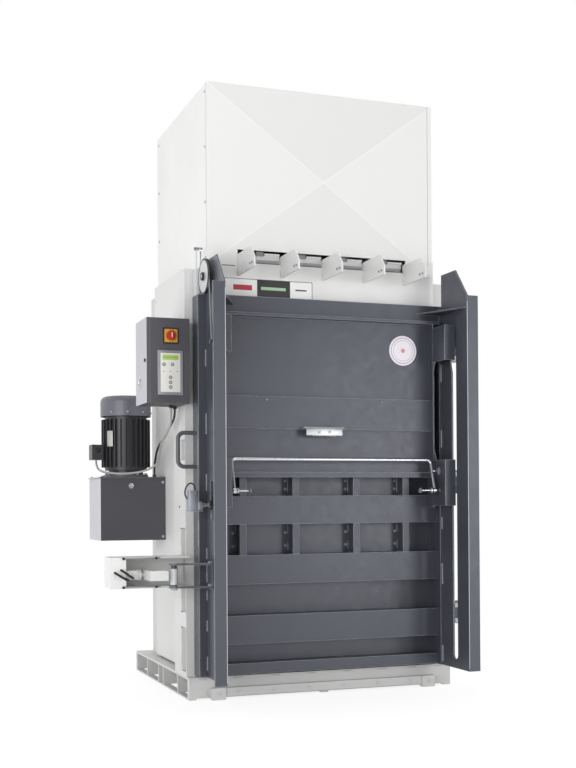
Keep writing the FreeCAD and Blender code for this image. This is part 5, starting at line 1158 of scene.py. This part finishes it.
def plastic(name, colour, rough=0.35, ior=1.53):
    """Injection-moulded plastic: an even colour with a slight flow mark and a soft sheen."""
    flow_mm = 16.7
    made, tree = fresh(name)
    place = add(tree, "ShaderNodeTexCoord").outputs["Object"]
    flow = add(tree, "ShaderNodeTexNoise", {"Vector": place, "Scale": 1000 / flow_mm, "Detail": 3})
    shade = add(tree, "ShaderNodeMapRange", {"Value": flow.outputs["Fac"], "To Min": 0.96,
                                             "To Max": 1.0})
    grey = add(tree, "ShaderNodeCombineColor", {i: shade.outputs[0] for i in range(3)})
    tint = add(tree, "ShaderNodeMix", {0: 1.0, 6: linear(colour), 7: grey.outputs[0]},
               data_type="RGBA", blend_type="MULTIPLY")
    edge = add(tree, "ShaderNodeBevel", {"Radius": 0.0006}, samples=4)
    skin = add(tree, "ShaderNodeBsdfPrincipled", {
        "Base Color": tint.outputs[2], "Roughness": rough, "IOR": ior, "Normal": edge.outputs[0]})
    add(tree, "ShaderNodeOutputMaterial", {"Surface": skin.outputs[0]})
    return made


dial_low, dial_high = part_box("main_switch")
dial_centre = (dial_low + dial_high) / 2
dress(plastic("red_moulded_switch_plastic", "#B5391F", 0.3), "main_switch")
pointer = block((dial_centre.x - 0.0028, dial_low.y - 0.0006, dial_centre.z - 0.010),
                (dial_centre.x + 0.0028, dial_low.y + 0.0006, dial_centre.z + 0.014), 0.0003)
piece("switch_pointer", pointer, plastic("pale_moulded_insert", "#F0D9C8"), "switch")

# The switch plate, the bezel, the keypad, the screen and the keys are fitted pieces of their own.
PANEL_LEFT, PANEL_RIGHT, PANEL_LOW, PANEL_HIGH = -0.933, -0.799, 1.591, 1.822
PANEL_FACE = FRONT - 0.050
PLATE_HALF, PLATE_ROUND, DIAL_HOLE = 0.034, 0.004, 0.0055
plate_front = PANEL_FACE - 0.004
yellow = plastic("yellow_enamelled_plate", "#D9A03A", 0.36)
corners = []
for cx, cz, start in ((1, 1, 0), (-1, 1, 90), (-1, -1, 180), (1, -1, 270)):
    for step in range(5):
        a = math.radians(start + step * 22.5)
        corners.append((dial_centre.x + cx * (PLATE_HALF - PLATE_ROUND) + PLATE_ROUND * math.cos(a),
                        dial_centre.z + cz * (PLATE_HALF - PLATE_ROUND) + PLATE_ROUND * math.sin(a)))
hole = [(dial_centre.x + DIAL_HOLE * math.cos(math.radians(a)),
         dial_centre.z + DIAL_HOLE * math.sin(math.radians(a))) for a in range(0, 360, 18)]


def holed_plate(outline, opening, front, back):
    """A flat plate with a round hole; both rings have the same number of points."""
    work = bmesh.new()
    rows = [[work.verts.new((x, y, z)) for x, z in ring]
            for ring, y in ((outline, front), (outline, back), (opening, back), (opening, front))]
    bridge(work, rows, ring=True)
    return meshed(work)


RIM_SHARE = 1.22
switch_plate = holed_plate(corners, hole, plate_front, PANEL_FACE)
dark_rim = holed_plate([(dial_centre.x + (x - dial_centre.x) * RIM_SHARE,
                         dial_centre.z + (z - dial_centre.z) * RIM_SHARE) for x, z in corners],
                       corners, plate_front + 0.0012, PANEL_FACE)
piece("switch_plate", switch_plate, yellow, "machine")
piece("switch_plate_rim", dark_rim, rubber("black_moulded_rim", "#242426", 0.45), "machine")


def frame_mesh(low, high, width, front, back, edge):
    """A rectangular frame of four bars with mitred corners, rounded at its front."""
    work = bmesh.new()
    rings = [(0, back), (0, front + edge), (edge, front), (width - edge, front),
             (width, front + edge), (width, back)]
    rows = []
    for inset, y in rings:
        x0, x1, z0, z1 = low[0] + inset, high[0] - inset, low[1] + inset, high[1] - inset
        rows.append([work.verts.new(p) for p in ((x0, y, z0), (x1, y, z0), (x1, y, z1), (x0, y, z1))])
    bridge(work, rows, ring=True)
    return meshed(work)


BEZEL_WIDE, BEZEL_FACE = 0.016, PANEL_FACE - 0.006
bezel = frame_mesh((PANEL_LEFT, PANEL_LOW), (PANEL_RIGHT, PANEL_HIGH), BEZEL_WIDE, BEZEL_FACE,
                   PANEL_FACE, 0.0012)
brushed_aluminium = metal("brushed_anodised_aluminium", "#B6B7BC", 0.42, streak_mm=180, along=2)
piece("keypad_bezel", bezel, brushed_aluminium, "machine")
PAD_INSET, PAD_FACE = 0.015, BEZEL_FACE - 0.002
pad = block((PANEL_LEFT + PAD_INSET, PAD_FACE, PANEL_LOW + PAD_INSET),
            (PANEL_RIGHT - PAD_INSET, PANEL_FACE - 0.001, PANEL_HIGH - PAD_INSET), 0.0006)
piece("keypad", pad, plastic("matt_polyester_keypad_film", "#EAE9E3", 0.45), "machine",
      ["operator_panel"])


def display():
    """Liquid-crystal display: green-lit, with one row of dark cells behind clear film."""
    made, tree = fresh("green_lit_crystal_display")
    place = add(tree, "ShaderNodeSeparateXYZ",
                {0: add(tree, "ShaderNodeTexCoord").outputs["Object"]})
    columns = add(tree, "ShaderNodeMath", {0: place.outputs[0], 1: 2 * math.pi / 0.006},
                  operation="MULTIPLY")
    wave = add(tree, "ShaderNodeMath", {0: columns.outputs[0]}, operation="SINE")
    cells = add(tree, "ShaderNodeMath", {0: wave.outputs[0], 1: 0.1}, operation="GREATER_THAN")
    row = add(tree, "ShaderNodeMath", {0: place.outputs[2], 1: SCREEN_MID, 2: 0.0055},
              operation="COMPARE")
    lit = add(tree, "ShaderNodeMath", {0: cells.outputs[0], 1: row.outputs[0]},
              operation="MULTIPLY")
    colour = add(tree, "ShaderNodeMix", {0: lit.outputs[0], 6: linear("#A9C46A"),
                                         7: linear("#86A14C")}, data_type="RGBA")
    skin = add(tree, "ShaderNodeBsdfPrincipled", {
        "Base Color": colour.outputs[2], "Roughness": 0.22, "Emission Color": colour.outputs[2],
        "Emission Strength": 0.12})
    add(tree, "ShaderNodeOutputMaterial", {"Surface": skin.outputs[0]})
    return made


SCREEN_INSET, SCREEN_TALL = 0.024, 0.026
SCREEN_HIGH = PANEL_HIGH - SCREEN_INSET
SCREEN_LOW = SCREEN_HIGH - SCREEN_TALL
SCREEN_MID = (SCREEN_HIGH + SCREEN_LOW) / 2
screen = block((PANEL_LEFT + SCREEN_INSET, PAD_FACE - 0.0015, SCREEN_LOW),
               (PANEL_RIGHT - SCREEN_INSET, PAD_FACE, SCREEN_HIGH), 0.0004)
piece("keypad_screen", screen, display(), "machine")
KEY_SPOTS = [(-0.901, 1.748), (-0.856, 1.749), (-0.866, 1.682), (-0.866, 1.656), (-0.866, 1.631)]
SMALL_KEY_SPOTS = [(-0.902, 1.712), (-0.866, 1.713), (-0.830, 1.714)]
keys = [turned([(0, 0), (0.0062, 0), (0.0062, 0.0008), (0.0050, 0.0014), (0, 0.0014)],
               (x, PAD_FACE, z), FORWARD, 28) for x, z in KEY_SPOTS]
keys += [turned([(0, 0), (0.0045, 0), (0.0040, 0.0008), (0, 0.0010)], (x, PAD_FACE, z), FORWARD, 24)
         for x, z in SMALL_KEY_SPOTS]
key_rims = [sleeve(0.0064, 0.0092, 0.0008, (x, PAD_FACE, z), FORWARD, 28) for x, z in KEY_SPOTS]
piece("grey_keys", joined(*key_rims), plastic("printed_key_rims", "#5C5D63", 0.4), "machine")
piece("light_keys", joined(*keys), plastic("light_domed_keys", "#BDBDBA", 0.4), "machine")
RING_X, RING_Y, RING_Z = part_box("cabinet_lid")[0].x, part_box("control_cabinet")[0].y + 0.150, 1.655
ring_line = [(RING_X - out, RING_Y + behind, RING_Z + over) for out, behind, over in (
    (0.004, 0.0, 0.032), (0.008, 0.010, 0.030), (0.008, 0.012, 0.0), (0.008, 0.0, -0.018),
    (0.008, -0.012, 0.0), (0.008, -0.010, 0.030), (0.004, 0.0, 0.032))]
ring_seat = turned([(0, 0), (0.011, 0), (0.011, 0.002), (0.008, 0.004), (0, 0.004)],
                   (RING_X, RING_Y, RING_Z + 0.030), LEFTWARD, 24)
piece("lid_ring_pull", joined(ring_seat, bent_bar(ring_line, 0.0022)), chrome, "lid")

# ---- power unit: oil tank on a hanger, with the pump under its lid and the motor on top ----
# Dark coated sheet tank; cast-iron motor with pressed-steel fan cowl, both in semi-gloss enamel.
# The left faces of the tank and its lid are painted pale, as painted light from the left.
tank_coat = powder_coat("dark_coat_on_tank_painted_lit_on_left", "#4A4A50", "#B4B6BB", 0.42, peel_mm=4, edge_wear_and_highlight_share=0.6,
                        lit_left_colour="#C2C3C9")
dress(tank_coat, "oil_tank")
dress(powder_coat("dark_coat_on_tank_lid_painted_lit_on_left", "#5A5A60", "#C0C2C6", 0.42, edge_wear_and_highlight_share=0.6,
                  lit_left_colour="#C2C3C9"), "tank_lid")
dress(bright_steel, "hydraulic_pump")
tank_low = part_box("oil_tank")[0]
lid_plate_low, lid_plate_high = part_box("tank_lid")
gauge_low, gauge_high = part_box("oil_gauge")
gauge_centre = (gauge_low + gauge_high) / 2
gauge_r = (gauge_high.x - gauge_low.x) / 2
gauge_seat = (gauge_centre.x, gauge_high.y, gauge_centre.z)
gauge_ring = turned([(gauge_r * 0.62, 0), (gauge_r, 0), (gauge_r, 0.006), (gauge_r * 0.92, 0.009),
                     (gauge_r * 0.72, 0.009), (gauge_r * 0.62, 0.006)], gauge_seat, FORWARD,
                    ring=True)
piece("gauge_ring", gauge_ring, chrome, "machine", ["oil_gauge"])
gauge_glass = turned([(0, 0), (gauge_r * 0.625, 0), (gauge_r * 0.625, 0.005), (0, 0.0065)],
                     gauge_seat, FORWARD, 40)
piece("gauge_window", gauge_glass, plastic("oil_behind_clear_plastic", "#B4B6B1", 0.12, 1.49),
      "machine")
heads("tank_screws", [((-0.716, tank_low.y, z), FORWARD) for z in (0.84, 1.155)], 0.009, 0.005,
      zinc_coat, "machine")
LID_SCREW_INSET = 0.02
tank_lid_spots = [((x, y, lid_plate_high.z), UPWARD)
                  for x in (lid_plate_low.x + LID_SCREW_INSET, lid_plate_high.x - LID_SCREW_INSET)
                  for y in (lid_plate_low.y + LID_SCREW_INSET, lid_plate_high.y - LID_SCREW_INSET)]
heads("tank_lid_screws", tank_lid_spots, 0.008, 0.006, zinc_coat, "machine")


def motor_enamel(name, colour, rough=0.38):
    """Semi-gloss machine enamel over cast iron: the sand-cast grain shows as a soft roughness."""
    sand_mm, dust_mm = 3.33, 111
    made, tree = fresh(name)
    place = add(tree, "ShaderNodeTexCoord").outputs["Object"]
    sand = add(tree, "ShaderNodeTexNoise", {"Vector": place, "Scale": 1000 / sand_mm, "Detail": 3})
    dust = add(tree, "ShaderNodeTexNoise", {"Vector": place, "Scale": 1000 / dust_mm, "Detail": 5})
    grime = add(tree, "ShaderNodeMapRange", {"Value": dust.outputs["Fac"], "From Min": 0.35,
                                             "From Max": 0.7, "To Min": 0.86, "To Max": 1.05})
    grey = add(tree, "ShaderNodeCombineColor", {i: grime.outputs[0] for i in range(3)})
    tint = add(tree, "ShaderNodeMix", {0: 1.0, 6: linear(colour), 7: grey.outputs[0]},
               data_type="RGBA", blend_type="MULTIPLY")
    edge = add(tree, "ShaderNodeBevel", {"Radius": 0.001}, samples=4)
    relief = add(tree, "ShaderNodeBump", {"Height": sand.outputs["Fac"], "Strength": 0.25,
                                          "Distance": 0.0008, "Normal": edge.outputs[0]})
    gloss = add(tree, "ShaderNodeMapRange", {"Value": dust.outputs["Fac"], "To Min": rough - 0.08,
                                             "To Max": rough + 0.14})
    skin = add(tree, "ShaderNodeBsdfPrincipled", {
        "Base Color": tint.outputs[2], "Roughness": gloss.outputs[0], "Normal": relief.outputs[0]})
    add(tree, "ShaderNodeOutputMaterial", {"Surface": skin.outputs[0]})
    return made


fin_black = motor_enamel("dark_enamel_on_cast_iron", "#35353A")
cowl_grey = motor_enamel("grey_enamel_on_pressed_cowl", "#6C6C75", 0.34)
dress(fin_black, "motor_housing", "motor_rotor", "terminal_box")
cowl_low, cowl_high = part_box("fan_cowl")
cowl_centre = (cowl_low + cowl_high) / 2
COWL_R = (cowl_high.x - cowl_low.x) / 2
COWL_TALL = cowl_high.z - cowl_low.z
SHOULDER, SHEET, GRILLE_R = 0.034, 0.003, 0.094
COWL_SCREWS = (225, 262, 300, 345, 60, 130)


def about_motor(degrees, mesh=None, radius=0.0, z=0.0):
    """Swing a mesh about the motor's axis, or give the point at a radius and a height there."""
    way = Matrix.Rotation(math.radians(degrees), 4, "Z")
    place = Matrix.Translation((cowl_centre.x, cowl_centre.y, z)) @ way
    if mesh:
        mesh.transform(place)
        return mesh
    return place @ Vector((radius, 0, 0))


def shoulder(radius, steps):
    """The cowl's rolled edge in its profile."""
    return [(COWL_R - SHOULDER + radius * math.cos(a), COWL_TALL - SHOULDER + radius * math.sin(a))
            for a in [math.pi / 2 * step / 10 for step in steps]]


def cowl_mesh():
    """A pressed cowl with a rolled shoulder, a ring grille cut in its top, and screw bosses."""
    outer = [(COWL_R, 0.0), *shoulder(SHOULDER, range(11)), (GRILLE_R, COWL_TALL)]
    inner = [(GRILLE_R, COWL_TALL - SHEET), *shoulder(SHOULDER - SHEET, range(10, -1, -1)),
             (COWL_R - SHEET, 0.0)]
    base = (cowl_centre.x, cowl_centre.y, cowl_low.z)
    under, top = cowl_high.z - SHEET, cowl_high.z
    parts = [turned(outer + inner, base, UPWARD, 96, ring=True)]
    for radius in (0.024, 0.042, 0.060, 0.078):
        parts.append(sleeve(radius - 0.003, radius + 0.003, SHEET - 0.0002,
                            (cowl_centre.x, cowl_centre.y, under), sides=72))
    parts.append(turned([(0, 0), (0.012, 0), (0.012, SHEET), (0, SHEET)],
                        (cowl_centre.x, cowl_centre.y, under), UPWARD, 32))
    for degrees in (45, 135, 225, 315):
        arm = block((0.010, -0.003, under + 0.0001), (0.097, 0.003, top - 0.0001), 0.0004)
        parts.append(about_motor(degrees, arm))
    for degrees in COWL_SCREWS:
        boss = block((0.136, -0.007, cowl_low.z + 0.004),
                     (COWL_R - SHEET + 0.0005, 0.007, cowl_low.z + 0.030), 0.0004)
        parts.append(about_motor(degrees, boss))
    return joined(*parts)


piece("pressed_fan_cowl", cowl_mesh(), cowl_grey, "machine", ["fan_cowl"])
cowl_spots = [(about_motor(degrees, radius=COWL_R, z=cowl_low.z + 0.022),
               (math.cos(math.radians(degrees)), math.sin(math.radians(degrees)), 0))
              for degrees in COWL_SCREWS]
heads("cowl_screws", cowl_spots, 0.007, 0.004, zinc_coat, "machine")
BELL_R, FOOT_R, FOOT_TALL, BOLT_CIRCLE = 0.100, 0.130, 0.014, 0.117
FOOT_Z = lid_plate_high.z
foot_ring = turned([(BELL_R, 0), (FOOT_R - 0.002, 0), (FOOT_R, 0.002), (FOOT_R, FOOT_TALL - 0.002),
                    (FOOT_R - 0.002, FOOT_TALL), (BELL_R, FOOT_TALL)],
                   (cowl_centre.x, cowl_centre.y, FOOT_Z), UPWARD, 72, ring=True)
piece("motor_foot_flange", foot_ring, cowl_grey, "machine")
foot_spots = [(about_motor(22.5 + 45 * step, radius=BOLT_CIRCLE, z=FOOT_Z + FOOT_TALL), UPWARD)
              for step in range(8)]
heads("motor_foot_bolts", foot_spots, 0.009, 0.008, zinc_coat, "machine")
FIN_R, MOTOR_PLATE_Z, MOTOR_PLATE_TURN = 0.142, 1.408, 219
plate_mesh = block((FIN_R - 0.0004, -0.020, MOTOR_PLATE_Z - 0.045),
                   (FIN_R + 0.0020, 0.020, MOTOR_PLATE_Z + 0.045), 0.0004)
about_motor(MOTOR_PLATE_TURN, plate_mesh)
piece("motor_plate", plate_mesh, zinc("etched_bare_aluminium_plate", "#CBCBC4", 0.5), "machine")
box_low, box_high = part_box("terminal_box")
BOX_INSET = 0.009
heads("terminal_box_screws",
      [((x, y, box_high.z), UPWARD) for x in (box_low.x + BOX_INSET, box_high.x - BOX_INSET)
       for y in (box_low.y + BOX_INSET, box_high.y - BOX_INSET)],
      0.0045, 0.003, zinc_coat, "machine", sides=12)
box_centre = (box_low + box_high) / 2
side_plug = turned([(0, 0), (0.016, 0), (0.016, 0.004), (0.012, 0.007), (0, 0.007)],
                   (box_centre.x, box_low.y, box_centre.z + 0.012), FORWARD, 6)
piece("terminal_box_plug", side_plug, rubber_black_and_shade, "machine")

# ---- cables: a grey lead from the motor and a black one from the tank, both up to the cabinet ----
# Round flexible leads with moulded sheaths, held only by the glands at their ends, so they sag.
CABLE_R = 0.006
MOTOR_CABLE = [(-1.085, 0.840, 1.287), (-1.085, 0.840, 1.240), (-1.060, 0.760, 1.212),
               (-0.985, 0.706, 1.203), (-0.895, 0.688, 1.206), (-0.815, 0.662, 1.224),
               (-0.775, 0.600, 1.262), (-0.785, 0.515, 1.310), (-0.803, 0.430, 1.352),
               (-0.806, 0.335, 1.394), (-0.803, 0.240, 1.428), (-0.812, 0.155, 1.455),
               (-0.826, 0.096, 1.490), (-0.826, 0.096, 1.536)]
VALVE_CABLE = [(-0.755, 0.775, 1.200), (-0.755, 0.775, 1.245), (-0.762, 0.718, 1.292),
               (-0.774, 0.635, 1.333), (-0.777, 0.540, 1.370), (-0.772, 0.445, 1.404),
               (-0.778, 0.350, 1.434), (-0.785, 0.255, 1.460), (-0.788, 0.165, 1.488),
               (-0.788, 0.165, 1.536)]
grey_sheath = rubber("grey_moulded_cable_sheath", "#A5A5A3", 0.5, 2.0)
black_sheath = rubber("black_moulded_cable_sheath", "#222224", 0.5, 2.0)


def lead(name, route, material, replaced):
    """A cable whose smooth line has the route's points, given from the base's front, as its knots."""
    cable = smooth_line(name, [(x, y + FRONT, z) for x, y, z in route], CABLE_R, 3, 4, 16)
    cable.data.materials.append(material)
    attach(cable, "machine")
    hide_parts(replaced)


lead("motor_lead", MOTOR_CABLE, grey_sheath, "motor_cable")
lead("valve_lead", VALVE_CABLE, black_sheath, "valve_cable")
gland_black = plastic("black_moulded_gland", "#2A2A2D", 0.42)
dress(gland_black, "cable_glands")
gland_nuts = [nut(0.0062, 0.0138, 0.007, (x, y + FRONT, z + 0.0045), UPWARD)
              for x, y, z in (MOTOR_CABLE[-1], VALVE_CABLE[-1])]
piece("gland_nuts", joined(*gland_nuts), gland_black, "machine")

# ---- last: the scene is brought up to date ----
bpy.context.view_layer.update()
